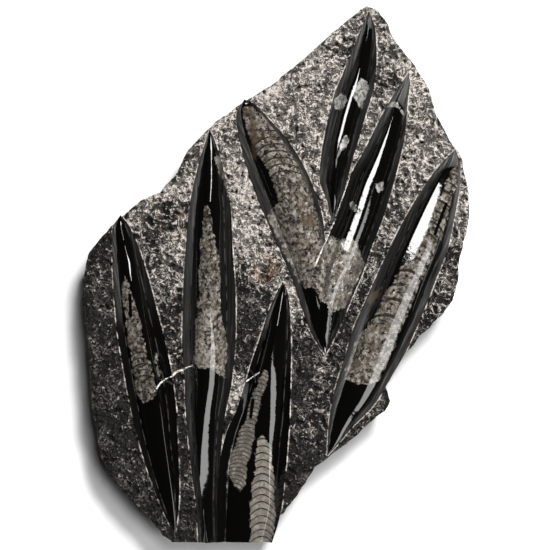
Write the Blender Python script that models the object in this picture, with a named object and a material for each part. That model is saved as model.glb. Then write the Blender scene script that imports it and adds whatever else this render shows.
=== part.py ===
"""Carved limestone slab with seven polished orthoceras fossils standing out of its face.

The stone lies on its sawn back, the plane z = 0, with the fossils' face up along +Z. Its long side
runs along Y, and the short edge at the -Y end is a straight saw cut. It is one solid: the fossils
are mineralised into the rock, and the rock is cut away around them.

Blender works in metres. The sizes below are in millimetres.
"""
import math
from collections import namedtuple

import bmesh
import bpy
from mathutils import Matrix, Vector

MM = 0.001
WELD_DISTANCE = 0.02 * MM

# The slab: the chiselled face is level at FACE_HEIGHT, and the fossils rise above it.
FACE_HEIGHT = 29.0
SLAB_LENGTH = 300.0
SAWN_FOOT_Y = -SLAB_LENGTH / 2
BACK_INSET = 5.0            # the broken sides lean in, so the back is smaller than the face
WAIST_HEIGHT = 15.0         # a ring round the sides at this height is hollowed by the breaks
WAIST_DEPTH = 1.6
WAIST_CHIP = 1.1

# Corners of the broken outline, clockwise from the top, with the sawn foot at y = -150.
OUTLINE = [
    (50.3, 150.0), (56.7, 146.9), (60.7, 142.2), (65.4, 132.1), (73.2, 121.5), (79.3, 113.7),
    (84.9, 103.6), (89.9, 88.0), (96.6, 75.4), (102.8, 66.8), (104.2, 59.7), (106.7, 50.1),
    (108.1, 37.2), (107.2, 26.6), (104.2, 15.7), (102.2, 8.8), (102.2, -0.7), (98.9, -14.4),
    (92.7, -23.0), (81.0, -34.5), (67.6, -50.4), (61.5, -63.2), (63.2, -71.0), (60.7, -77.1),
    (57.6, -78.8), (43.1, -91.7), (25.2, -105.9), (21.3, -108.4), (11.8, -124.0), (4.0, -133.8),
    (0.9, -135.7), (-1.0, -142.4), (-4.9, -149.1), (-27.2, -150.0), (-58.5, -150.0), (-64.6, -145.8),
    (-71.3, -136.8), (-85.8, -122.1), (-93.6, -112.3), (-98.7, -101.7), (-101.4, -86.6),
    (-104.2, -69.3), (-106.5, -34.2), (-108.1, -18.6), (-107.6, -0.7), (-105.4, 11.6), (-97.5, 21.6),
    (-88.1, 31.4), (-74.1, 42.3), (-65.7, 45.6), (-56.8, 55.1), (-49.6, 69.6), (-40.1, 79.7),
    (-33.9, 85.2), (-19.4, 95.8), (-1.0, 107.0), (13.5, 119.3), (31.4, 135.1), (47.0, 148.3),
]

# Each fossil is a spindle. Its tip and foot are the ends of a straight chord. At each station along
# the chord, sway is how far its middle lies to the chord's +X side, and half is its half width.
# The rounded body lies between two grooves, given as fractions of the half width.
STATIONS = (0.0, 0.03, 0.1, 0.2, 0.3, 0.4, 0.5, 0.6, 0.7, 0.8, 0.9, 0.97, 1.0)
Spindle = namedtuple("Spindle", "name tip foot sway half groove_left groove_right")
SPINDLES = [
    Spindle(
        "left", (-87.2, 32.5), (-57.0, -146.9),
        (0.0, -0.9, -0.4, -0.3, -0.3, 0.1, 0.5, 0.5, 0.1, 0.2, 0.5, 0.4, 0.0),
        (0.0, 4.3, 7.2, 9.8, 11.5, 12.7, 13.0, 12.4, 10.7, 8.4, 5.0, 1.5, 0.0),
        -0.69, 0.60,
    ),
    Spindle(
        "tall", (-37.4, 80.2), (-38.9, -152.0),
        (0.0, 0.4, 0.5, 0.4, 0.1, 0.4, 0.3, 0.1, -1.4, -1.3, -0.4, 0.3, 0.5),
        (0.0, 2.8, 7.6, 11.8, 13.2, 14.6, 14.8, 13.2, 10.4, 8.1, 5.8, 5.3, 5.1),
        -0.70, 0.66,
    ),
    Spindle(
        "forked", (3.4, -4.8), (-17.7, -152.0),
        (0.0, 0.6, 0.5, 0.5, 0.2, -0.1, -0.5, -2.0, -2.1, -1.3, -0.8, -0.9, -0.7),
        (0.0, 2.5, 5.6, 8.3, 10.8, 12.8, 15.0, 17.5, 18.5, 18.4, 17.2, 15.6, 15.1),
        -0.70, 0.74,
    ),
    Spindle(
        "gray", (-18.0, 97.1), (27.1, -44.8),
        (0.0, -0.4, 0.7, 3.2, 5.0, 6.3, 6.9, 6.3, 5.5, 4.0, 1.9, 0.5, 0.0),
        (0.0, 5.3, 9.3, 13.3, 15.2, 15.6, 14.8, 12.6, 10.4, 8.6, 5.9, 2.2, 0.0),
        -0.66, 0.80,
    ),
    Spindle(
        "crown", (51.4, 146.1), (30.5, 27.8),
        (0.0, 0.6, 1.5, 1.5, 0.9, -0.7, -2.0, -2.8, -3.5, -3.3, -0.9, -0.1, 0.0),
        (0.0, 1.9, 4.5, 7.1, 9.1, 10.1, 9.9, 9.5, 8.7, 7.6, 3.5, 1.0, 0.0),
        -0.52, 0.66,
    ),
    Spindle(
        "slanted", (73.6, 111.9), (27.3, -45.0),
        (0.0, 0.2, -0.6, -0.6, -1.4, -2.9, -3.5, -4.8, -6.2, -7.3, -5.4, -2.3, 0.0),
        (0.0, 2.0, 4.7, 8.2, 10.3, 12.3, 12.6, 12.5, 13.1, 12.2, 8.5, 3.3, 0.0),
        -0.49, 0.71,
    ),
    Spindle(
        "right", (99.7, 69.3), (28.3, -101.1),
        (0.0, 1.2, 1.8, 2.2, 2.8, 2.5, 2.5, 2.1, 2.0, 1.5, -0.1, 0.0, 0.0),
        (0.0, 3.7, 8.5, 12.2, 14.8, 15.5, 16.0, 16.1, 14.2, 11.9, 6.4, 2.2, 0.0),
        -0.66, 0.78,
    ),
]
TIP_HALF_WIDTH = 0.4        # a spindle's ends are blunt by this much

# Sections across a spindle are half ellipses. Their heights are fractions of its half width.
GROOVE_DEPTH_RATIO = 0.30
GROOVE_AXIS_HEIGHT = FACE_HEIGHT + 0.8
BODY_HEIGHT_RATIO = 0.55
BODY_AXIS_HEIGHT = FACE_HEIGHT - 2.5

SIDE_STEPS = 2              # rings between two stations
SECTION_RESOLUTION = 4      # a section has twelve sides


def clear_scene():
    for item in list(bpy.data.objects):
        bpy.data.objects.remove(item, do_unlink=True)


def new_collection(name):
    collection = bpy.data.collections.new(name)
    bpy.context.scene.collection.children.link(collection)
    return collection


def limestone():
    """Nearly black, fine-grained limestone, between a polish and a broken face."""
    material = bpy.data.materials.new("limestone")
    material.use_nodes = True
    shader = material.node_tree.nodes["Principled BSDF"]
    shader.inputs["Base Color"].default_value = (0.045, 0.042, 0.038, 1.0)
    shader.inputs["Roughness"].default_value = 0.45
    shader.inputs["Metallic"].default_value = 0.0
    return material


def curve_to_mesh_object(curve_object, name, collection):
    """Replace a curve by a mesh object with welded caps, in the same place."""
    bpy.context.view_layer.update()
    evaluated = curve_object.evaluated_get(bpy.context.evaluated_depsgraph_get())
    mesh = bpy.data.meshes.new_from_object(evaluated)
    work = bmesh.new()
    work.from_mesh(mesh)
    bmesh.ops.remove_doubles(work, verts=work.verts, dist=WELD_DISTANCE)
    bmesh.ops.recalc_face_normals(work, faces=work.faces)
    work.to_mesh(mesh)
    work.free()
    result = bpy.data.objects.new(name, mesh)
    result.matrix_world = curve_object.matrix_world.copy()
    collection.objects.link(result)
    bpy.data.objects.remove(curve_object, do_unlink=True)
    return result


def slab_blank(collection):
    """The broken outline as a plate from the sawn back up to the chiselled face."""
    curve = bpy.data.curves.new("slab_outline", "CURVE")
    curve.dimensions = "2D"
    curve.fill_mode = "BOTH"
    curve.extrude = FACE_HEIGHT / 2 * MM
    spline = curve.splines.new("POLY")
    spline.points.add(len(OUTLINE) - 1)
    spline.use_cyclic_u = True
    for point, (x, y) in zip(spline.points, OUTLINE):
        point.co = (x * MM, y * MM, 0.0, 1.0)
    blank = bpy.data.objects.new("slab_outline", curve)
    blank.location.z = FACE_HEIGHT / 2 * MM
    collection.objects.link(blank)
    slab = curve_to_mesh_object(blank, "orthoceras_slab", collection)
    slab.data.transform(slab.matrix_world)
    slab.matrix_world = Matrix.Identity(4)
    return slab


def break_sides(slab):
    """Add the waist ring, then lean and hollow the sides. The sawn foot keeps its plane."""
    work = bmesh.new()
    work.from_mesh(slab.data)
    geometry = work.verts[:] + work.edges[:] + work.faces[:]
    bmesh.ops.bisect_plane(
        work, geom=geometry, plane_co=(0.0, 0.0, WAIST_HEIGHT * MM), plane_no=(0.0, 0.0, 1.0)
    )
    for vertex in work.verts:
        place = vertex.co / MM
        inset = BACK_INSET * (1.0 - place.z / FACE_HEIGHT)
        if abs(place.z - WAIST_HEIGHT) < WAIST_CHIP:
            angle = math.atan2(place.y, place.x)
            inset += WAIST_DEPTH + WAIST_CHIP * math.sin(11.0 * angle) * math.cos(5.0 * angle)
        shrink = 1.0 - inset / math.hypot(place.x, place.y)
        vertex.co.x *= shrink
        if place.y > SAWN_FOOT_Y + inset:
            vertex.co.y *= shrink
    bmesh.ops.recalc_face_normals(work, faces=work.faces)
    work.to_mesh(slab.data)
    work.free()


def spindle_sections(spindle, left, right, skip):
    """Middle point and half width, in mm, of the strip from left to right at each station.

    An end that closes to a point leaves out its last few stations, as many as skip says.
    """
    tip = Vector(spindle.tip)
    chord = Vector(spindle.foot) - tip
    across = Vector((-chord.y, chord.x)).normalized()
    first = skip
    last = len(STATIONS) - 1 - (skip if spindle.half[-1] == 0.0 else 0)
    for station in range(first, last + 1):
        half = spindle.half[station]
        side = spindle.sway[station] + half * (left + right) / 2
        closes = station == first or (station == last and spindle.half[-1] == 0.0)
        width = TIP_HALF_WIDTH if closes else half * (right - left) / 2
        yield tip + chord * STATIONS[station] + across * side, width


def spindle_tool(spindle, kind, strip, height_ratio, axis_height, collection):
    """A tube along the spindle, flattened to the height ratio, for a Boolean modifier."""
    name = f"{spindle.name}_{kind}"
    left, right, skip = strip
    sections = list(spindle_sections(spindle, left, right, skip))
    curve = bpy.data.curves.new(name, "CURVE")
    curve.dimensions = "3D"
    curve.twist_mode = "Z_UP"
    curve.bevel_depth = MM
    curve.bevel_resolution = SECTION_RESOLUTION
    curve.use_fill_caps = True
    curve.resolution_u = SIDE_STEPS
    spline = curve.splines.new("BEZIER")
    spline.radius_interpolation = "CARDINAL"
    spline.bezier_points.add(len(sections) - 1)
    for point, (middle, half_width) in zip(spline.bezier_points, sections):
        point.co = (middle.x * MM, middle.y * MM, 0.0)
        point.handle_left_type = "AUTO"
        point.handle_right_type = "AUTO"
        point.radius = half_width
    tube = bpy.data.objects.new(name, curve)
    collection.objects.link(tube)
    tool = curve_to_mesh_object(tube, name, collection)
    flatness = 2 * height_ratio / (right - left)
    tool.data.transform(Matrix.Diagonal((1.0, 1.0, flatness, 1.0)))
    tool.location.z = axis_height * MM
    hide_tool(tool)
    return tool


def saw_block(collection):
    """A block beyond the sawn foot, which trims the two fossils that run into the cut."""
    depth, height, width = 20.0, 80.0, 300.0
    bpy.ops.mesh.primitive_cube_add(size=1.0, location=(0.0, 0.0, 0.0))
    block = bpy.context.active_object
    block.name = "saw_cut"
    for owner in list(block.users_collection):
        owner.objects.unlink(block)
    collection.objects.link(block)
    block.data.transform(Matrix.Diagonal((width * MM, depth * MM, height * MM, 1.0)))
    block.location = (0.0, (SAWN_FOOT_Y - depth / 2) * MM, FACE_HEIGHT * MM)
    hide_tool(block)
    return block


def hide_tool(tool):
    tool.hide_render = True
    tool.display_type = "WIRE"


def add_boolean(target, tool, operation):
    modifier = target.modifiers.new(tool.name, "BOOLEAN")
    modifier.operation = operation
    modifier.solver = "EXACT"
    modifier.object = tool


def build():
    clear_scene()
    stone = new_collection("orthoceras_fossil")
    tools = new_collection("carving_tools")
    slab = slab_blank(stone)
    break_sides(slab)
    slab.data.materials.append(limestone())
    for spindle in SPINDLES:
        strip = (-1.0, 1.0, 0)
        groove = spindle_tool(
            spindle, "groove", strip, GROOVE_DEPTH_RATIO, GROOVE_AXIS_HEIGHT, tools
        )
        add_boolean(slab, groove, "DIFFERENCE")
    for spindle in SPINDLES:
        strip = (spindle.groove_left, spindle.groove_right, 1)
        body = spindle_tool(spindle, "body", strip, BODY_HEIGHT_RATIO, BODY_AXIS_HEIGHT, tools)
        add_boolean(slab, body, "UNION")
    add_boolean(slab, saw_block(tools), "DIFFERENCE")


build()
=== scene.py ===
"""Looks of a carved limestone slab with seven polished orthoceras fossils standing out of it.

The slab is one stone. Its pecked face, broken sides and sawn back are one closed mesh, and each
fossil is a closed polished spindle bedded in it. Shapes are worked out in millimetres as whole
numpy arrays and are written to the meshes in metres.
"""
import logging
import math
from dataclasses import dataclass, field
from enum import Enum

import bmesh
import bpy
import numpy as np
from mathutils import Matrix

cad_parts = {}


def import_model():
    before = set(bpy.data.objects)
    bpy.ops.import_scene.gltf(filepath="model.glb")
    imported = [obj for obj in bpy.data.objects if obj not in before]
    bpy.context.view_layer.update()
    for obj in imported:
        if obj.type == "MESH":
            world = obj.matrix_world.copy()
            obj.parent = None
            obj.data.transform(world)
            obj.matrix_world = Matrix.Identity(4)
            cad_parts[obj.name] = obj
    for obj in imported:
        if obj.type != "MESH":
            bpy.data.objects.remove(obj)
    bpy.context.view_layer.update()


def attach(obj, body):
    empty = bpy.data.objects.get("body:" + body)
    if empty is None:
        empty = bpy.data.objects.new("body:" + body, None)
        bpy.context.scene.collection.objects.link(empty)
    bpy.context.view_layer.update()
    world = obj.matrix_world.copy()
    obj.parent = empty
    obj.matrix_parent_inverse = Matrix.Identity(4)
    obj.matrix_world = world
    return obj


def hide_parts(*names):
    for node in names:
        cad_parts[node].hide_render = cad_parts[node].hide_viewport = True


LOG = logging.getLogger("orthoceras")
MM = 0.001
UV_MAP = "OFBake"
STONE_NODE = "orthoceras_slab"

Array = np.ndarray
Point = tuple[float, float]
Path = tuple[Point, ...]
Piece = bpy.types.Object

# The stone's driving sizes and outline, as packed.
FACE_HEIGHT = 29.0
HALF_WIDTH = 108.1
HALF_LENGTH = 150.0
SAWN_FOOT_Y = -HALF_LENGTH
OUTLINE: Path = (
    (50.3, 150.0), (56.7, 146.9), (60.7, 142.2), (65.4, 132.1), (73.2, 121.5), (79.3, 113.7),
    (84.9, 103.6), (89.9, 88.0), (96.6, 75.4), (102.8, 66.8), (104.2, 59.7), (106.7, 50.1),
    (108.1, 37.2), (107.2, 26.6), (104.2, 15.7), (102.2, 8.8), (102.2, -0.7), (98.9, -14.4),
    (92.7, -23.0), (81.0, -34.5), (67.6, -50.4), (61.5, -63.2), (63.2, -71.0), (60.7, -77.1),
    (57.6, -78.8), (43.1, -91.7), (25.2, -105.9), (21.3, -108.4), (11.8, -124.0), (4.0, -133.8),
    (0.9, -135.7), (-1.0, -142.4), (-4.9, -149.1), (-27.2, -150.0), (-58.5, -150.0), (-64.6, -145.8),
    (-71.3, -136.8), (-85.8, -122.1), (-93.6, -112.3), (-98.7, -101.7), (-101.4, -86.6), (-104.2, -69.3),
    (-106.5, -34.2), (-108.1, -18.6), (-107.6, -0.7), (-105.4, 11.6), (-97.5, 21.6), (-88.1, 31.4),
    (-74.1, 42.3), (-65.7, 45.6), (-56.8, 55.1), (-49.6, 69.6), (-40.1, 79.7), (-33.9, 85.2),
    (-19.4, 95.8), (-1.0, 107.0), (13.5, 119.3), (31.4, 135.1), (47.0, 148.3),
)
STATIONS = (0.0, 0.03, 0.1, 0.2, 0.3, 0.4, 0.5, 0.6, 0.7, 0.8, 0.9, 0.97, 1.0)
HASH_FACTORS = (374761393, 668265263, 1442695041, 1274126177, 1103515245)
LOW_BITS = 0xFFFFFFFF
SEED_STEP = 17
TINY = 1e-6


# ---- Whole-array helpers ----


def ease(value: Array, low: float, high: float) -> Array:
    """Rise smoothly from 0 to 1: with f the clamped share of the way from low to high, 3f^2 - 2f^3.

    Args:
        value: The numbers to map.
        low: Where the result leaves 0.
        high: Where the result reaches 1.

    Returns:
        An array of the same shape, between 0 and 1.
    """
    share = np.clip((value - low) / (high - low), 0.0, 1.0)
    return share * share * (3.0 - 2.0 * share)


def curve_through(stations: Array, values: Array, at: Array) -> Array:
    """Cubic curve through the stations whose slopes are harmonic means, so it never overshoots.

    Args:
        stations: Rising positions.
        values: The value at each station.
        at: Where to read the curve.

    Returns:
        The curve's value at each place.
    """
    x, y = np.asarray(stations, float), np.asarray(values, float)
    step = np.diff(x)
    rise = np.diff(y) / step
    same = rise[:-1] * rise[1:] > 0.0
    total = np.where(same, rise[:-1] + rise[1:], 1.0)
    slope = np.empty_like(y)
    slope[1:-1] = np.where(same, 2.0 * rise[:-1] * rise[1:] / total, 0.0)
    slope[0], slope[-1] = rise[0], rise[-1]
    k = np.clip(np.searchsorted(x, at, side="right") - 1, 0, len(step) - 1)
    f = np.clip((at - x[k]) / step[k], 0.0, 1.0)
    lead = (1.0 + 2.0 * f) * (1.0 - f) ** 2 * y[k] + f * (1.0 - f) ** 2 * step[k] * slope[k]
    tail = f * f * (3.0 - 2.0 * f) * y[k + 1] + f * f * (f - 1.0) * step[k] * slope[k + 1]
    return lead + tail


def scatter(column: Array, row: Array, seed: int) -> Array:
    """Even random numbers tied to whole cell numbers: multiply, add and fold the bits.

    Args:
        column, row: Cell numbers along X and Y.
        seed: Picks one of many independent sets.

    Returns:
        Numbers from 0 up to 1, the same on every run.
    """
    by_column, by_row, by_seed, first_fold, second_fold = HASH_FACTORS
    mixed = (column.astype(np.int64) * by_column + row.astype(np.int64) * by_row) & LOW_BITS
    mixed = (mixed + seed * by_seed) & LOW_BITS
    mixed = ((mixed ^ (mixed >> 13)) * first_fold) & LOW_BITS
    mixed = ((mixed ^ (mixed >> 15)) * second_fold) & LOW_BITS
    return ((mixed ^ (mixed >> 16)) & 0xFFFFFF) / float(0x1000000)


def noise(x: Array, y: Array, pitch: float, seed: int) -> Array:
    """Smooth noise from -1 to 1: random cell corners blended by eased shares of the cell.

    Args:
        x, y: Places, in mm.
        pitch: Size of a cell, in mm.
        seed: Picks the noise.

    Returns:
        The noise at each place.
    """
    column, row = np.floor(x / pitch), np.floor(y / pitch)
    across, along = ease(x / pitch - column, 0.0, 1.0), ease(y / pitch - row, 0.0, 1.0)
    near = scatter(column, row, seed) * (1 - across) + scatter(column + 1, row, seed) * across
    far = scatter(column, row + 1, seed) * (1 - across) + scatter(column + 1, row + 1, seed) * across
    return 2.0 * (near * (1 - along) + far * along) - 1.0


@dataclass(frozen=True)
class Noise:
    """Sum of noises, each with half the pitch and half the height of the one before.

    The pitch is the coarsest layer's, in mm, and the sum lies roughly within the height.
    """

    pitch: float
    layers: int
    seed: int
    height: float = 1.0

    def at(self, x: Array, y: Array) -> Array:
        """The sum at each place."""
        total = np.zeros(np.shape(x))
        for layer in range(self.layers):
            total += noise(x, y, self.pitch / 2**layer, self.seed + SEED_STEP * layer) / 2**layer
        return self.height * (total / (2.0 - 2.0 ** (1 - self.layers)))


def segment_distance(x: Array, y: Array, start: Point, end: Point) -> tuple[Array, Array]:
    """Distance to a straight piece and the share along it of the nearest point.

    Args:
        x, y: Places.
        start, end: The two ends of the piece.

    Returns:
        The distance, and the share from 0 at the start to 1 at the end.
    """
    dx, dy = end[0] - start[0], end[1] - start[1]
    share = np.clip(((x - start[0]) * dx + (y - start[1]) * dy) / (dx * dx + dy * dy), 0.0, 1.0)
    return np.hypot(x - start[0] - share * dx, y - start[1] - share * dy), share


def line_distance(x: Array, y: Array, paths: tuple[Path, ...]) -> Array:
    """Distance to the nearest of some open paths: the least over their straight pieces.

    Args:
        x, y: Places.
        paths: The points of each path.

    Returns:
        The distance at each place.
    """
    pairs = [pair for path in paths for pair in zip(path, path[1:])]
    return np.min([segment_distance(x, y, start, end)[0] for start, end in pairs], axis=0)


def outline_distance(x: Array, y: Array, corners: Path) -> tuple[Array, Array]:
    """Distance to a closed outline, positive inside, and how far round the nearest point lies.

    A ray to +X from a place inside crosses the outline an odd number of times.

    Args:
        x, y: Places.
        corners: The outline's corners, in order.

    Returns:
        The signed distance, and the length along the outline to the nearest point.
    """
    best = np.full(np.shape(x), np.inf)
    travel = np.zeros(np.shape(x))
    inside = np.zeros(np.shape(x), bool)
    passed = 0.0
    for start, end in zip(corners, corners[1:] + corners[:1]):
        distance, share = segment_distance(x, y, start, end)
        length = math.dist(start, end)
        nearer = distance < best
        best = np.where(nearer, distance, best)
        travel = np.where(nearer, passed + share * length, travel)
        passed += length
        spans = (start[1] > y) != (end[1] > y)
        drop = end[1] - start[1]
        meets = start[0] + (y - start[1]) * (end[0] - start[0]) / (drop if drop else 1.0)
        inside ^= spans & (x < meets)
    return np.where(inside, best, -best), travel


def patch_depth(x: Array, y: Array, outlines: tuple[Path, ...]) -> Array:
    """How deep each place lies inside the nearest of some patches, negative outside them all."""
    return np.max([outline_distance(x, y, outline)[0] for outline in outlines], axis=0)


# ---- Meshes ----


def build_object(name: str, points: Array, faces: list[list[int]]) -> Piece:
    """Make a mesh object at the origin from points in mm.

    Args:
        name: The object's name.
        points: One row of x, y, z for each vertex.
        faces: Vertex numbers of each face.

    Returns:
        The linked object.
    """
    mesh = bpy.data.meshes.new(name)
    mesh.from_pydata((points * MM).tolist(), [], faces)
    mesh.update()
    piece = bpy.data.objects.new(name, mesh)
    bpy.context.scene.collection.objects.link(piece)
    return piece


def seal(piece: Piece, angle: float, fill: bool = False) -> None:
    """Turn a closed piece's faces outwards and shade it smooth up to its sharp edges.

    Args:
        piece: The mesh object.
        angle: The least angle of a sharp edge, in degrees.
        fill: Whether its open edges are filled first.
    """
    work = bmesh.new()
    work.from_mesh(piece.data)
    if fill:
        bmesh.ops.holes_fill(work, edges=[edge for edge in work.edges if edge.is_boundary], sides=0)
    bmesh.ops.recalc_face_normals(work, faces=work.faces)
    work.to_mesh(piece.data)
    work.free()
    piece.data.shade_smooth()
    piece.data.set_sharp_from_angle(angle=math.radians(angle))


def vertex_places(piece: Piece) -> Array:
    """One row of x, y, z in mm for each vertex."""
    places = np.empty(len(piece.data.vertices) * 3)
    piece.data.vertices.foreach_get("co", places)
    return places.reshape(-1, 3) / MM


def lay_map(piece: Piece, uv: Array) -> None:
    """Write the piece's own map, one row of u, v for each corner of its faces."""
    layer = piece.data.uv_layers.new(name=UV_MAP)
    layer.data.foreach_set("uv", uv.astype(np.float32).ravel())


def store(piece: Piece, fields: dict[str, Array]) -> None:
    """Write one number for each vertex into each of some named attributes.

    Args:
        piece: The mesh object.
        fields: The numbers by the attribute's name, which the piece's material reads.
    """
    for name, values in fields.items():
        attribute = piece.data.attributes.new(name, "FLOAT", "POINT")
        attribute.data.foreach_set("value", np.ascontiguousarray(values, dtype=np.float32))


# ---- The carved relief ----


@dataclass
class Spindle:
    """One fossil's place and shape. Half widths and sways are in mm at STATIONS along the chord.

    Each row of crest is a share along the chord, where the crest runs across, the flatness of the
    section there and how far in mm the crest is raised.
    """

    name: str
    tip: Point
    foot: Point
    sway: tuple[float, ...]
    half: tuple[float, ...]
    grooves: Point
    crest: tuple[tuple[float, float, float, float], ...]
    # Each side's bevel gray is partly the ground finish and partly painted light, and the fade below
    # darkens it towards the foot as painted shade.
    bevel_gray_and_painted_light: Point = (0.5, 0.5)
    bevel_foot_shade: float = 0.95
    fullness: float = 0.75
    rim: float = FACE_HEIGHT + 0.4
    groove_ratio: float = 0.20
    body_ratio: float = 0.55
    body_axis: float = FACE_HEIGHT - 2.5
    least_half: float = 0.4
    bevel_hollow: float = 0.25
    hold: float = 1.1
    plunge: float = 30.0
    table_size: int = 601
    smoothing: int = 25
    table: dict[str, Array] = field(init=False, repr=False)

    def __post_init__(self) -> None:
        """Smooth the station values into fine tables along the chord."""
        fine = np.linspace(0.0, 1.0, self.table_size)
        crest_at, crest_t, flatness, raised = zip(*self.crest)
        spread = np.hanning(self.smoothing)
        self.table = {"at": fine}
        for key, at, values in (
            ("sway", STATIONS, self.sway),
            ("half", STATIONS, self.half),
            ("crest", crest_at, crest_t),
            ("flatness", crest_at, flatness),
            ("raised", crest_at, raised),
        ):
            curve = curve_through(at, values, fine)
            padded = np.pad(curve, self.smoothing // 2, mode="reflect", reflect_type="odd")
            self.table[key] = np.convolve(padded, spread / spread.sum(), mode="valid")

    @property
    def length(self) -> float:
        """Length of the chord in mm."""
        return math.dist(self.tip, self.foot)

    @property
    def is_sawn(self) -> bool:
        """Whether the saw's cut at the slab's foot ends this fossil."""
        return self.half[-1] > 0.0

    def read(self, key: str, along: Array) -> Array:
        """Read one of the smoothed tables at shares along the chord."""
        return np.interp(along, self.table["at"], self.table[key])

    def half_width(self, along: Array) -> Array:
        """Half the outline's width in mm, never quite closing."""
        return np.maximum(self.read("half", along), self.least_half)

    def directions(self) -> tuple[Point, Point]:
        """Unit vectors along the chord to the foot, and across it to its +X side."""
        ux = (self.foot[0] - self.tip[0]) / self.length
        uy = (self.foot[1] - self.tip[1]) / self.length
        return (ux, uy), (-uy, ux)

    def place(self, along: Array, across: Array) -> tuple[Array, Array]:
        """Point at a share along the chord and an across share: tip + s L u + (sway + t half) n."""
        (ux, uy), (nx, ny) = self.directions()
        side = self.read("sway", along) + across * self.half_width(along)
        x = self.tip[0] + along * self.length * ux + side * nx
        return x, self.tip[1] + along * self.length * uy + side * ny

    def locate(self, x: Array, y: Array) -> tuple[Array, Array]:
        """The along and across shares of a point: the inverse of place."""
        (ux, uy), (nx, ny) = self.directions()
        dx, dy = x - self.tip[0], y - self.tip[1]
        along = (dx * ux + dy * uy) / self.length
        side = dx * nx + dy * ny - self.read("sway", along)
        return along, side / self.half_width(along)

    def cover(self, x: Array, y: Array) -> Array:
        """How far in mm a point lies inside the fossil's edge, negative outside."""
        along, across = self.locate(x, y)
        side = (1.0 - np.abs(across)) * self.half_width(along)
        past = np.maximum(-along, along - 1.0) * self.length
        outside = -np.hypot(np.minimum(side, 0.0), np.maximum(past, 0.0))
        return np.where((side > 0.0) & (past < 0.0), np.minimum(side, -past), outside)

    def groove_floor(self, along: Array) -> Array:
        """Height of the grooves' bottom: a fraction of the half width below the rim."""
        return self.rim - self.groove_ratio * self.half_width(along)

    def ridge(self, along: Array) -> Array:
        """Height of the crest: a straight function of the half width, held above the groove.

        The hold is the logarithm of 1 + e^(k d), which is d where d is large and never negative.
        """
        floor = self.groove_floor(along)
        rise = self.body_axis + self.body_ratio * self.half_width(along)
        rise = rise + self.read("raised", along) - floor
        return floor + np.logaddexp(0.0, self.hold * rise) / self.hold

    def bevel(self, along: Array, across: Array) -> Array:
        """Height of the ground bevels, falling from the rim to the groove, flat between grooves.

        With w the share of the way from rim to groove, the fall is (1 + hollow) w - hollow w^2.
        """
        left, right = self.grooves
        share = np.where(across < 0.0, (1.0 + across) / (1.0 + left), (1.0 - across) / (1.0 - right))
        share = np.clip(share, 0.0, 1.0)
        fall = (1.0 + self.bevel_hollow) * share - self.bevel_hollow * share**2
        return self.rim - (self.rim - self.groove_floor(along)) * fall

    def body(self, along: Array, across: Array) -> Array:
        """Height of the rounded body between its grooves.

        With u the share of the way from crest to groove, the height is (1 - u^flatness)^fullness.
        Past the groove it plunges.
        """
        left, right = self.grooves
        crest = self.read("crest", along)
        share = np.where(across < crest, (crest - across) / (crest - left), 0.0)
        share = np.where(across >= crest, (across - crest) / (right - crest), share)
        floor = self.groove_floor(along)
        arch = np.maximum(1.0 - share ** self.read("flatness", along), 0.0) ** self.fullness
        height = floor + (self.ridge(along) - floor) * arch
        return height - self.plunge * np.maximum(share - 1.0, 0.0)

    def is_over(self, along: Array, across: Array) -> Array:
        """True where a place lies within this fossil's outline."""
        return (np.abs(across) < 1.0) & (along > 0.0) & (along < 1.0)


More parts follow.
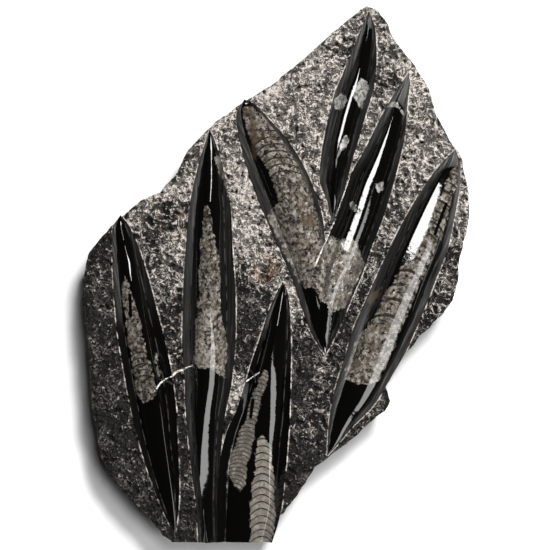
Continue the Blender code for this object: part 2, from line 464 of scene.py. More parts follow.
SPINDLES: tuple[Spindle, ...] = (
    Spindle(
        "left_fossil", (-87.2, 32.5), (-57.0, -146.9),
        (0.0, -0.9, -0.4, -0.3, -0.3, 0.1, 0.5, 0.5, 0.1, 0.2, 0.5, 0.4, 0.0),
        (0.0, 4.3, 7.2, 9.8, 11.5, 12.7, 13.0, 12.4, 10.7, 8.4, 5.0, 1.5, 0.0),
        (-0.69, 0.60),
        ((0.0, 0.0, 1.15, 0.0), (0.08, 0.0, 1.15, 0.0), (0.11, 0.0, 1.3, 0.0), (0.14, 0.0, 2.3, 0.0),
         (0.17, 0.0, 2.0, 0.0), (0.21, 0.05, 1.2, 0.0), (0.45, 0.2, 1.2, 0.0), (0.6, 0.3, 1.5, 0.0),
         (1.0, 0.33, 1.5, 0.0)),
        bevel_gray_and_painted_light=(0.6, 0.4),
    ),
    Spindle(
        "tall_fossil", (-37.4, 80.2), (-38.9, -152.0),
        (0.0, 0.4, 0.5, 0.4, 0.1, 0.4, 0.3, 0.1, -1.4, -1.3, -0.4, 0.3, 0.5),
        (0.0, 2.8, 7.6, 11.8, 13.2, 14.6, 14.8, 13.2, 10.4, 8.1, 5.8, 5.3, 5.1),
        (-0.70, 0.66),
        ((0.0, 0.0, 2.0, 0.6), (0.12, 0.0, 2.1, 0.0), (0.19, 0.0, 1.15, 0.2), (0.3, 0.0, 1.2, 1.3),
         (0.43, 0.0, 1.5, 1.9), (0.52, -0.04, 2.1, 0.9), (0.6, -0.08, 2.0, 0.3),
         (0.66, -0.12, 1.8, 0.4), (0.72, -0.2, 1.5, 1.0), (0.78, -0.35, 1.3, 1.5),
         (0.84, -0.45, 1.2, 1.7), (0.9, -0.4, 1.1, 2.4), (1.0, 0.0, 1.1, 3.2)),
        bevel_gray_and_painted_light=(0.4, 0.35), bevel_foot_shade=0.5,
    ),
    Spindle(
        "forked_fossil", (3.4, -4.8), (-17.7, -152.0),
        (0.0, 0.6, 0.5, 0.5, 0.2, -0.1, -0.5, -2.0, -2.1, -1.3, -0.8, -0.9, -0.7),
        (0.0, 2.5, 5.6, 8.3, 10.8, 12.8, 15.0, 17.5, 18.5, 18.4, 17.2, 15.6, 15.1),
        (-0.70, 0.74),
        ((0.0, 0.05, 1.3, 0.0), (0.1, 0.0, 1.3, 0.6), (0.2, -0.05, 1.3, 1.2), (0.3, -0.06, 1.4, 0.9),
         (0.36, -0.04, 1.8, -0.1), (0.44, 0.05, 2.0, -1.7), (0.5, 0.15, 2.0, -2.9),
         (0.6, 0.34, 2.0, -5.0), (0.7, 0.46, 2.0, -6.0), (0.85, 0.6, 1.8, -6.2),
         (1.0, 0.6, 1.4, -5.0)),
        bevel_gray_and_painted_light=(0.1, 0.4),
    ),
    Spindle(
        "gray_fossil", (-18.0, 97.1), (27.1, -44.8),
        (0.0, -0.4, 0.7, 3.2, 5.0, 6.3, 6.9, 6.3, 5.5, 4.0, 1.9, 0.5, 0.0),
        (0.0, 5.3, 9.3, 13.3, 15.2, 15.6, 14.8, 12.6, 10.4, 8.6, 5.9, 2.2, 0.0),
        (-0.66, 0.80),
        ((0.0, 0.0, 1.1, 0.0), (0.08, -0.05, 1.15, 0.0), (0.16, -0.05, 1.2, 0.0),
         (1.0, 0.1, 1.2, 0.0)),
        bevel_gray_and_painted_light=(0.5, 0.9), bevel_foot_shade=0.5,
    ),
    Spindle(
        "crown_fossil", (51.4, 146.1), (30.5, 27.8),
        (0.0, 0.6, 1.5, 1.5, 0.9, -0.7, -2.0, -2.8, -3.5, -3.3, -0.9, -0.1, 0.0),
        (0.0, 1.9, 4.5, 7.1, 9.1, 10.1, 9.9, 9.5, 8.7, 7.6, 3.5, 1.0, 0.0),
        (-0.52, 0.66),
        ((0.0, 0.0, 1.3, 0.0), (0.24, -0.1, 1.3, 0.0), (0.36, -0.12, 2.4, 0.0),
         (0.5, -0.14, 2.6, 0.6), (0.62, -0.16, 2.6, 1.6), (0.7, -0.05, 1.5, 1.9),
         (0.78, 0.1, 1.1, 1.2), (1.0, 0.15, 1.1, 0.0)),
        bevel_gray_and_painted_light=(0.9, 0.8), bevel_foot_shade=0.6, groove_ratio=0.32,
    ),
    Spindle(
        "slanted_fossil", (73.6, 111.9), (27.3, -45.0),
        (0.0, 0.2, -0.6, -0.6, -1.4, -2.9, -3.5, -4.8, -6.2, -7.3, -5.4, -2.3, 0.0),
        (0.0, 2.0, 4.7, 8.2, 10.3, 12.3, 12.6, 12.5, 13.1, 12.2, 8.5, 3.3, 0.0),
        (-0.49, 0.71),
        ((0.0, -0.15, 1.2, 0.0), (0.14, -0.18, 1.35, 0.0), (0.26, -0.18, 2.4, 0.0), (0.5, -0.18, 3.6, 0.7),
         (0.64, -0.15, 4.0, 1.5), (0.78, 0.0, 2.1, 0.6), (0.9, 0.05, 2.0, 0.0), (1.0, 0.0, 2.0, 0.0)),
        bevel_gray_and_painted_light=(0.5, 1.25), bevel_foot_shade=0.85, groove_ratio=0.32,
    ),
    Spindle(
        "right_fossil", (99.7, 69.3), (28.3, -101.1),
        (0.0, 1.2, 1.8, 2.2, 2.8, 2.5, 2.5, 2.1, 2.0, 1.5, -0.1, 0.0, 0.0),
        (0.0, 3.7, 8.5, 12.2, 14.8, 15.5, 16.0, 16.1, 14.2, 11.9, 6.4, 2.2, 0.0),
        (-0.66, 0.78),
        ((0.0, -0.1, 1.1, 0.0), (0.05, -0.2, 1.2, 0.0), (0.12, -0.36, 3.0, 0.0),
         (0.38, -0.36, 4.2, 0.3), (0.48, -0.3, 3.2, -1.0), (0.56, -0.2, 2.5, -2.6),
         (0.64, -0.06, 2.1, -3.8), (0.75, 0.1, 2.0, -3.4), (0.85, 0.2, 2.0, -1.8),
         (0.93, 0.2, 2.0, -0.4), (1.0, 0.1, 2.0, 0.0)),
        bevel_gray_and_painted_light=(0.35, 1.25), bevel_foot_shade=0.3,
    ),
)


def carved_height(x: Array, y: Array) -> Array:
    """Height of the polished surface under each place.

    The grooves of every fossil that covers a place are cut to the lowest, their bodies are raised
    to the highest with a soft join, and the higher of the two results is the surface.

    Args:
        x, y: Places, in mm.

    Returns:
        The height in mm, or infinity where no fossil covers the place.
    """
    join, buried = 1.6, -100.0
    floor = np.full(np.shape(x), np.inf)
    body = np.full(np.shape(x), buried)
    for spindle in SPINDLES:
        along, across = spindle.locate(x, y)
        over = spindle.is_over(along, across)
        floor = np.where(over, np.minimum(floor, spindle.bevel(along, across)), floor)
        own = np.where(over, spindle.body(along, across), buried)
        blend = np.clip(0.5 + 0.5 * (own - body) / join, 0.0, 1.0)
        soft = body * (1 - blend) + own * blend + join * blend * (1 - blend)
        body = np.where(over, soft, body)
    return np.maximum(floor, body)


def fossil_cover(x: Array, y: Array) -> Array:
    """How far in mm each place lies inside the nearest fossil's edge, negative outside them all."""
    return np.max([spindle.cover(x, y) for spindle in SPINDLES], axis=0)


# ---- Markings in the stone ----

MID_CHAMBER = 0.5
LEAST_GROWTH = -0.9
# Where along the chord the bevels' painted shade sets in and where it is full.
FOOT_SHADE_RANGE = (0.05, 0.38)
BEVEL_EDGE = (-0.1, 0.5)
TIP_EDGE = (-0.6, 0.8)
TIP_GRAY = 0.8
FIELD_REACH = 12.0


@dataclass(frozen=True)
class ShellCore:
    """The pale filled inside of one shell, with septa arched across its axis."""

    outline: Path
    axis: tuple[Point, Point]
    spacing: float = 0.0
    growth: float = 0.0
    arch: float = 3.0
    half: float = 7.0
    paleness: float = 0.0
    brightening: float = 0.0
    clean: float = 0.0
    septate: Point = (-50.0, 500.0)

    def depth(self, x: Array, y: Array) -> Array:
        """Signed distance to the outline in mm, positive inside."""
        return outline_distance(x, y, self.outline)[0]

    def chambers(self, x: Array, y: Array) -> Array:
        """How many septa lie between the tip and a place, as a running number.

        With a the length along the axis less arch (c/half)^2 for a place c off the axis, and a
        spacing that grows evenly with a, the number is ln(1 + growth a / spacing) / growth.
        """
        if not self.spacing:
            return np.full(np.shape(x), MID_CHAMBER)
        (x0, y0), (x1, y1) = self.axis
        length = math.dist(*self.axis)
        ux, uy = (x1 - x0) / length, (y1 - y0) / length
        off = (y - y0) * ux - (x - x0) * uy
        run = (x - x0) * ux + (y - y0) * uy - self.arch * (off / self.half) ** 2
        number = run / self.spacing
        if self.growth:
            number = np.log1p(np.maximum(self.growth * number, LEAST_GROWTH)) / self.growth
        return np.where((run > self.septate[0]) & (run < self.septate[1]), number, MID_CHAMBER)

    def pallor(self, x: Array, y: Array) -> Array:
        """How pale the filling is: paleness, and brightening evenly along the axis."""
        (x0, y0), (x1, y1) = self.axis
        share = ((x - x0) * (x1 - x0) + (y - y0) * (y1 - y0)) / math.dist(*self.axis) ** 2
        return self.paleness + self.brightening * (np.clip(share, 0.0, 1.0) - 0.5)


CORES: tuple[ShellCore, ...] = (
    ShellCore((
        (-84.7, -1.3), (-86.2, -9.1), (-85.0, -23.0), (-82.5, -39.8), (-80.5, -52.6), (-78.6, -66.0),
        (-74.1, -72.1), (-66.8, -68.2), (-67.4, -61.0), (-69.9, -52.0), (-73.3, -39.8), (-76.1, -28.0),
        (-79.7, -14.6), (-81.9, -4.6),
    ), ((-83.5, 2.0), (-72.0, -72.0)), spacing=3.3, arch=1.5, half=5.0, brightening=-0.08,
        septate=(44.0, 62.0)),
    ShellCore((
        (-38.9, 39.5), (-41.2, 28.9), (-42.6, 16.0), (-43.1, 2.1), (-44.0, -14.6), (-44.8, -28.6),
        (-45.4, -39.8), (-46.5, -49.2), (-43.4, -52.6), (-37.8, -53.1), (-32.8, -54.8), (-29.5, -58.2),
        (-28.3, -49.2), (-27.2, -39.8), (-29.5, -31.4), (-30.9, -20.2), (-31.7, -9.1), (-32.0, 6.6),
        (-34.5, 21.6), (-36.2, 32.8),
    ), ((-38.0, 42.0), (-37.0, -58.0)), brightening=0.1),
    ShellCore((
        (-34.6, 65.0), (-32.3, 65.7), (-28.3, 55.1), (-26.1, 43.9), (-27.2, 42.0), (-30.5, 54.0),
    ), ((-34.0, 65.0), (-27.0, 42.0)), paleness=0.04),
    ShellCore((
        (-69.1, -45.9), (-67.3, -44.8), (-65.6, -49.2), (-64.6, -55.9), (-66.2, -57.1), (-67.9, -51.5),
    ), ((-68.5, -45.0), (-65.5, -57.0)), paleness=-0.02),
    ShellCore((
        (-6.8, -53.4), (-9.9, -58.7), (-13.0, -65.4), (-15.2, -71.6), (-17.7, -81.0), (-20.5, -88.9),
        (-24.7, -100.9), (-28.3, -111.2), (-25.0, -116.8), (-20.5, -121.8), (-17.7, -117.3),
        (-17.5, -110.5), (-15.1, -100.9), (-12.4, -87.2), (-10.8, -81.0), (-7.4, -64.9), (-4.9, -58.2),
        (-4.6, -54.3),
    ), ((-6.0, -50.0), (-23.0, -118.0)), spacing=2.3, arch=2.0, half=5.0, clean=0.45, paleness=-0.04),
    ShellCore((
        (-7.9, -90.2), (-10.2, -92.8), (-11.3, -98.3), (-12.4, -107.8), (-13.8, -120.7), (-14.6, -131.8),
        (-14.7, -151.0), (-3.2, -151.0), (-1.6, -143.0), (-0.7, -131.8), (-0.7, -124.0), (-1.7, -114.5),
        (-3.3, -98.3), (-5.5, -93.3),
    ), ((-7.8, -88.0), (-8.6, -150.0)), spacing=3.9, arch=3.4, half=6.0, clean=0.65, brightening=-0.06),
    ShellCore((
        (-18.9, 92.5), (-13.8, 93.6), (-8.3, 88.6), (-1.0, 80.2), (5.7, 71.8), (11.3, 63.5),
        (16.3, 53.4), (19.6, 43.9), (22.4, 34.5), (25.2, 24.4), (28.0, 8.8), (29.7, -6.3), (30.2, -14.6),
        (25.2, -14.6), (21.3, -8.5), (16.3, -7.4), (12.4, -5.2), (7.9, 4.3), (3.5, 13.3), (-1.6, 23.3),
        (-4.9, 33.3), (-2.0, 37.5), (1.2, 39.5), (-0.4, 46.7), (-5.2, 57.9), (-9.0, 64.0), (-12.5, 70.5),
        (-15.5, 77.0), (-17.2, 83.0),
    ), ((-17.0, 98.0), (20.0, 10.0)), spacing=4.1, arch=5.0, half=11.0, brightening=0.03,
        septate=(20.0, 49.0)),
    ShellCore((
        (34.1, 18.8), (40.8, 19.9), (44.2, 17.2), (48.7, 6.6), (46.4, -0.7), (42.0, -10.2),
        (38.1, -18.6), (33.0, -20.8), (29.1, -22.5), (28.0, -18.0), (24.7, -14.6), (21.9, -8.5),
        (18.0, -6.3), (18.5, -0.7), (21.3, 6.6), (26.3, 15.5), (30.2, 21.1),
    ), ((40.0, 30.0), (28.0, -30.0)), paleness=0.08),
    ShellCore((
        (99.8, 58.8), (96.6, 56.8), (91.6, 45.6), (86.0, 32.8), (82.7, 25.5), (74.9, 12.1), (67.1, -0.7),
        (59.8, -13.5), (52.0, -26.9), (47.0, -32.5), (43.6, -39.8), (40.8, -47.0), (36.9, -59.3),
        (42.0, -61.0), (52.0, -62.1), (56.5, -59.8), (59.8, -53.7), (68.2, -34.2), (75.4, -16.3),
        (82.1, -1.3), (85.5, 6.6), (89.4, 16.0), (94.4, 27.2), (97.8, 43.9), (101.1, 49.5),
        (101.7, 55.1),
    ), ((100.5, 60.0), (52.0, -52.0)), spacing=4.8, growth=0.055, arch=6.5, half=11.0,
        septate=(0.0, 94.0), paleness=0.01),
)
TUBES: tuple[Path, ...] = (
    ((-81.9, -11.9), (-81.4, -23.6)),
    ((-13.3, -70.4), (-14.6, -79.9)),
    ((94.4, 38.9), (87.9, 21.9)),
)
CALCITE_PATCHES: tuple[Path, ...] = (
    ((47.2, 109.1), (50.4, 107.7), (51.4, 103.1), (50.0, 98.5), (47.2, 92.5), (44.8, 95.3), (42.0, 98.3),
     (41.7, 101.4), (43.5, 104.0)),
    ((33.0, 97.5), (35.8, 100.3), (38.6, 99.2), (38.1, 92.5), (34.1, 91.9), (31.4, 92.5)),
    ((38.6, 78.0), (40.3, 74.6), (38.1, 69.6), (35.8, 67.4), (34.7, 70.7), (36.9, 75.2)),
    ((42.0, 39.5), (44.8, 38.4), (43.6, 35.0), (41.4, 36.1)),
    ((54.2, 50.1), (59.3, 51.2), (59.8, 46.7), (56.5, 45.1)),
    ((61.8, 94.8), (63.9, 95.9), (66.0, 95.6), (67.8, 94.5), (69.9, 91.8), (71.6, 88.8), (71.1, 88.0),
     (69.3, 89.8), (67.2, 92.0), (65.5, 93.1), (63.2, 93.2), (61.1, 92.3)),
)
WORN_TIPS: tuple[Path, ...] = (
    ((73.5, 113.6), (69.6, 105.6), (65.9, 97.6), (68.7, 95.6), (73.6, 89.8), (75.7, 97.1), (75.7, 107.8)),
    ((99.7, 70.0), (94.1, 65.0), (90.2, 59.5), (92.1, 57.9), (96.4, 60.1), (100.8, 60.1), (103.6, 60.1),
     (103.1, 65.2)),
    ((52.8, 147.0), (50.1, 140.2), (51.3, 137.4), (54.0, 136.8), (55.4, 140.2)),
)
BROWN_PATCHES: tuple[Path, ...] = (
    ((12.9, 32.7), (21.3, 33.3), (22.0, 27.0), (14.0, 26.5)),
    ((49.8, -14.6), (53.1, -10.2), (58.1, -8.0), (56.5, -13.0), (52.6, -18.0)),
    ((-14.9, 85.8), (-11.5, 85.8), (-11.5, 63.5), (-14.0, 63.5)),
    ((52.0, -29.0), (58.0, -30.0), (67.0, -31.2), (66.0, -32.6), (52.0, -31.8)),
)
VEINS_AND_HIGHLIGHT_LINES: tuple[Path, ...] = (
    ((-68.5, -66.0), (-66.8, -63.8), (-65.0, -61.0), (-61.8, -58.7), (-58.5, -57.3), (-56.2, -54.8),
     (-52.0, -53.6), (-50.7, -52.6), (-46.4, -50.8)),
    ((-17.0, -60.1), (-9.7, -55.0)),
    # A painted highlight: the white reflection along the slanted fossil's left edge, drawn as a line.
    ((40.3, 53.4), (32.4, 29.7), (21.3, 4.3)),
)


def store_markings(piece: Piece, spindle: Spindle, x: Array, y: Array) -> None:
    """Give a polished piece its marking attributes, as distances in mm that the shader edges.

    Args:
        piece: The mesh object.
        spindle: The fossil's place and shape, whose bevels are marked.
        x, y: The vertices' places, in mm.
    """
    along, across = spindle.locate(x, y)
    left, right = spindle.grooves
    half = spindle.half_width(along)
    beyond = np.maximum(left - across, across - right) * half
    # The bevel gray is partly painted light: set per side, and faded towards the foot as painted shade.
    gray = np.where(across < 0.5 * (left + right), *spindle.bevel_gray_and_painted_light)
    foot_shade = 1.0 - spindle.bevel_foot_shade * ease(along, *FOOT_SHADE_RANGE)
    worn = ease(patch_depth(x, y, WORN_TIPS), *TIP_EDGE)
    best = np.full(np.shape(x), -np.inf)
    chambers, paleness, clean = (np.zeros(np.shape(x)) for _ in range(3))
    for core in CORES:
        depth = core.depth(x, y)
        chambers = np.where(depth > best, core.chambers(x, y), chambers)
        paleness = np.where(depth > best, core.pallor(x, y), paleness)
        clean = np.where(depth > best, core.clean, clean)
        best = np.maximum(best, depth)
    store(piece, {
        "bevel": np.maximum(gray * foot_shade * ease(beyond, *BEVEL_EDGE), TIP_GRAY * worn),
        "groove_distance": np.abs(beyond),
        "along": along * spindle.length,
        "across": across * half,
        "core_depth": np.clip(best, -FIELD_REACH, FIELD_REACH),
        "chambers": chambers,
        "paleness": paleness,
        "clean": clean,
        "tube_distance": np.minimum(line_distance(x, y, TUBES), FIELD_REACH),
        "white_line_distance": np.minimum(line_distance(x, y, VEINS_AND_HIGHLIGHT_LINES), FIELD_REACH),
        "calcite_depth": np.maximum(patch_depth(x, y, CALCITE_PATCHES), -FIELD_REACH),
        "brown_depth": np.maximum(patch_depth(x, y, BROWN_PATCHES), -FIELD_REACH),
    })


# ---- Finishes ----

Socket = bpy.types.NodeSocket
Material = bpy.types.Material
Colour = tuple[float, float, float]


class Maths(Enum):
    """Operations of a Math node that the finishes use."""

    ADD = "ADD"
    SUBTRACT = "SUBTRACT"
    MULTIPLY = "MULTIPLY"
    MAXIMUM = "MAXIMUM"
    FRACTION = "FRACT"
    ABSOLUTE = "ABSOLUTE"


@dataclass(frozen=True)
class Wire:
    """One node's output. Each sum done with it adds a node to its sheet."""

    sheet: "NodeSheet"
    socket: Socket

    def __add__(self, other: "Wire | float") -> "Wire":
        """This and the other together."""
        return self.sheet.maths(Maths.ADD, self, other)

    def __sub__(self, other: "Wire | float") -> "Wire":
        """This less the other."""
        return self.sheet.maths(Maths.SUBTRACT, self, other)

    def __mul__(self, other: "Wire | float") -> "Wire":
        """This times the other."""
        return self.sheet.maths(Maths.MULTIPLY, self, other)

    def __abs__(self) -> "Wire":
        """This without its sign."""
        return self.sheet.maths(Maths.ABSOLUTE, self)

    def fraction(self) -> "Wire":
        """What this holds above its whole part."""
        return self.sheet.maths(Maths.FRACTION, self)

    def greater(self, other: "Wire") -> "Wire":
        """The greater of this and the other."""
        return self.sheet.maths(Maths.MAXIMUM, self, other)

    def ease(self, low: "Wire | float", high: "Wire | float") -> "Wire":
        """Rise smoothly from 0 at low to 1 at high; low may be the greater."""
        inputs = {"Value": self, "From Min": low, "From Max": high}
        return self.sheet.node("MapRange", "Result", inputs, interpolation_type="SMOOTHSTEP")


Value = Wire | float | Colour


class NodeSheet:
    """The nodes of one material or of the world, added and linked by short calls."""

    def __init__(self, owner: Material | bpy.types.World, space: str = "Object") -> None:
        """Open the owner's nodes.

        Args:
            owner: The material or the world.
            space: The coordinates that its textures read.
        """
        owner.use_nodes = True
        self.owner = owner
        self.tree = owner.node_tree
        self.place = self.node("TexCoord", space, {})

    def feed(self, socket: Socket, value: Value) -> None:
        """Link a wire into a socket, or set the socket's own value."""
        if isinstance(value, Wire):
            self.tree.links.new(value.socket, socket)
        elif isinstance(value, tuple):
            socket.default_value = (*value, 1.0)
        else:
            socket.default_value = value

    def node(self, kind: str, output: str, inputs: dict[str | int, Value], **settings: str) -> Wire:
        """Add one node.

        Args:
            kind: The node's type, without its prefix.
            output: Which of its outputs is wanted.
            inputs: What goes into its inputs.
            **settings: The node's own choices, which are made before its inputs are fed.

        Returns:
            The wanted output.
        """
        node = self.tree.nodes.new(f"ShaderNode{kind}")
        for key, choice in settings.items():
            setattr(node, key, choice)
        for key, value in inputs.items():
            self.feed(node.inputs[key], value)
        return Wire(self, node.outputs[output])

    def maths(self, operation: Maths, first: Wire, second: Wire | float = 0.0) -> Wire:
        """Result of one Math node."""
        return self.node("Math", "Value", {0: first, 1: second}, operation=operation.value)

    def attribute(self, name: str) -> Wire:
        """Number that the piece's mesh holds under a name."""
        return self.node("Attribute", "Fac", {}, attribute_name=name)

    def grain(self, size: float, layers: float, rough: float, bend: float = 0.0) -> Wire:
        """Noise in the piece's own place.

        Args:
            size: Size of its coarsest grains, in mm.
            layers: How many finer layers it adds.
            rough: How strong the finer layers are.
            bend: How far the noise bends itself.

        Returns:
            The noise, about 0.5 on average.
        """
        inputs = {"Vector": self.place, "Scale": 1.0 / (size * MM), "Detail": layers}
        return self.node("TexNoise", "Fac", inputs | {"Roughness": rough, "Distortion": bend})

    def streaks(self, size: float, stretch: float, layers: float = 3.0) -> Wire:
        """Noise drawn out along a fossil.

        Args:
            size: Width of the streaks, in mm.
            stretch: How many times longer than wide they are.
            layers: How many finer layers it adds.

        Returns:
            The noise, about 0.5 on average.
        """
        run = self.attribute("along") * (1.0 / (size * stretch))
        inputs = {"X": run, "Y": self.attribute("across") * (1.0 / size)}
        spot = self.node("CombineXYZ", "Vector", inputs)
        return self.node("TexNoise", "Fac", {"Vector": spot, "Scale": 1.0, "Detail": layers})

    def crystals(self, size: float) -> Wire:
        """One random number for each cell of a foam of cells of a size in mm."""
        return self.node("TexVoronoi", "Color", {"Vector": self.place, "Scale": 1.0 / (size * MM)})

    def mix(self, share: Wire, first: Wire | Colour, second: Wire | Colour) -> Wire:
        """Blend two colours by a share."""
        inputs = {"Factor": share, "A": first, "B": second}
        return self.node("Mix", "Result", inputs, data_type="RGBA")

    def finish(self, colour: Value, roughness: Value, specular: float) -> Material:
        """Set the shader's colour, roughness and mirror strength, and hand out the material."""
        inputs = {"Base Color": colour, "Roughness": roughness, "Specular IOR Level": specular}
        for key, value in inputs.items():
            self.feed(self.tree.nodes["Principled BSDF"].inputs[key], value)
        return self.owner

    def bump(self, height: Wire, depth: float) -> None:
        """Emboss the surface by a height from 0 to 1 that stands for a depth in mm."""
        normal = self.node("Bump", "Normal", {"Distance": depth * MM, "Height": height})
        self.feed(self.tree.nodes["Principled BSDF"].inputs["Normal"], normal)


@dataclass(frozen=True)
class PolishedLimestone:
    """Black limestone with a mirror polish, and the shells' calcite inside it."""

    black: Colour = (0.0015, 0.0014, 0.0013)
    ground: Colour = (0.034, 0.033, 0.031)
    ground_pale: Colour = (0.11, 0.105, 0.098)
    # Paler gray painted as sheen on the bevels set strongest, which face away from the lamps.
    ground_sheen: Colour = (0.26, 0.25, 0.235)
    shell_dark: Colour = (0.011, 0.0095, 0.008)
    shell_gray: Colour = (0.075, 0.066, 0.056)
    shell_pale: Colour = (0.19, 0.173, 0.150)
    brown: Colour = (0.052, 0.037, 0.023)
    calcite: Colour = (0.28, 0.28, 0.27)
    white: Colour = (0.66, 0.64, 0.60)
    roughness: float = 0.06
    worn_roughness: float = 0.09
    satin_roughness: float = 0.34
    specular: float = 0.5
    ripple: float = 0.05

    def make(self) -> Material:
        """Build the material.

        Returns:
            The finished material, which reads the marking attributes.
        """
        sheet = NodeSheet(bpy.data.materials.new("polished_limestone"))
        fine, mottle = sheet.grain(0.9, 3.0, 0.65), sheet.grain(2.2, 4.0, 0.62, 0.6)
        cloud, clean = sheet.grain(7.0, 3.0, 0.55), sheet.attribute("clean")
        small = (mottle - 0.5) * 2.4
        ragged = (cloud - 0.5) * 5.0 + small

        # The filling's grains, from dark to nearly white, and its brown clouds.
        grade = sheet.crystals(1.7) * 0.30 + mottle * 0.70 + fine * 0.35 + sheet.attribute("paleness")
        tone = sheet.mix(grade.ease(0.56, 0.68), self.shell_dark, self.shell_gray)
        tone = sheet.mix(grade.ease(0.68, 0.80), tone, self.shell_pale)
        tone = sheet.mix(grade.ease(0.88, 0.97), tone, self.white)
        tone = sheet.mix(cloud.ease(0.50, 0.68) * 0.5, tone, self.brown)
        tone = sheet.mix(clean * 0.75, tone, self.shell_pale)

        # The septa, where the running number of chambers is whole, and the shells' ragged edges.
        wave = abs((sheet.attribute("chambers") + small * 0.05).fraction() - 0.5)
        septum = wave.ease(0.37, 0.42) * 0.95 * clean.greater(mottle.ease(0.36, 0.48))
        inside = (sheet.attribute("core_depth") + ragged).ease(-0.35, 0.35)
        colour = sheet.mix(inside, self.black, sheet.mix(septum, tone, self.shell_dark))

        # Siphuncle tubes, stains, patches of calcite, white veins, and a painted highlight along the
        # slanted fossil's left edge.
        tube = sheet.attribute("tube_distance") + small * 0.3
        colour = sheet.mix(tube.ease(1.15, 0.75), colour, self.black)
        stain = (sheet.attribute("brown_depth") + ragged).ease(-0.8, 1.0) * 0.75
        colour = sheet.mix(stain, colour, self.brown)
        pale = sheet.mix(mottle.ease(0.36, 0.64), self.shell_gray, self.calcite)
        patch = (sheet.attribute("calcite_depth") + ragged).ease(-0.3, 0.3)
        colour = sheet.mix(patch, colour, pale)
        white_line = sheet.attribute("white_line_distance") + small * 0.5
        colour = sheet.mix(white_line.ease(0.46, 0.18), colour, self.white)

        # The ground bevels, streaked along the fossil. Their gray is partly the ground finish and partly
        # painted light: strongest on the sides set strongest, and fading towards the foot as painted shade.
        # A painted highlight runs along each groove's bottom.
        streak, bevel = sheet.streaks(0.9, 22.0), sheet.attribute("bevel")
        ground = sheet.mix(streak.ease(0.52, 0.70), self.ground, self.ground_pale)
        ground = sheet.mix(bevel.ease(0.8, 1.9), ground, self.ground_sheen)
        colour = sheet.mix(bevel * streak.ease(0.30, 0.52), colour, ground)
        # Painted reflection: a pale line along the bottom of each groove.
        crease_highlight = (sheet.attribute("groove_distance") + small * 0.1).ease(0.40, 0.15)
        colour = sheet.mix(crease_highlight * cloud.ease(0.42, 0.60) * 0.35, colour, self.ground_pale)

        wear = inside * (self.worn_roughness - self.roughness)
        satin = bevel.ease(0.0, 0.12) * (self.satin_roughness - self.roughness)
        sheet.bump(sheet.grain(3.5, 2.0, 0.5), self.ripple)
        return sheet.finish(colour, wear.greater(satin) + self.roughness, self.specular)


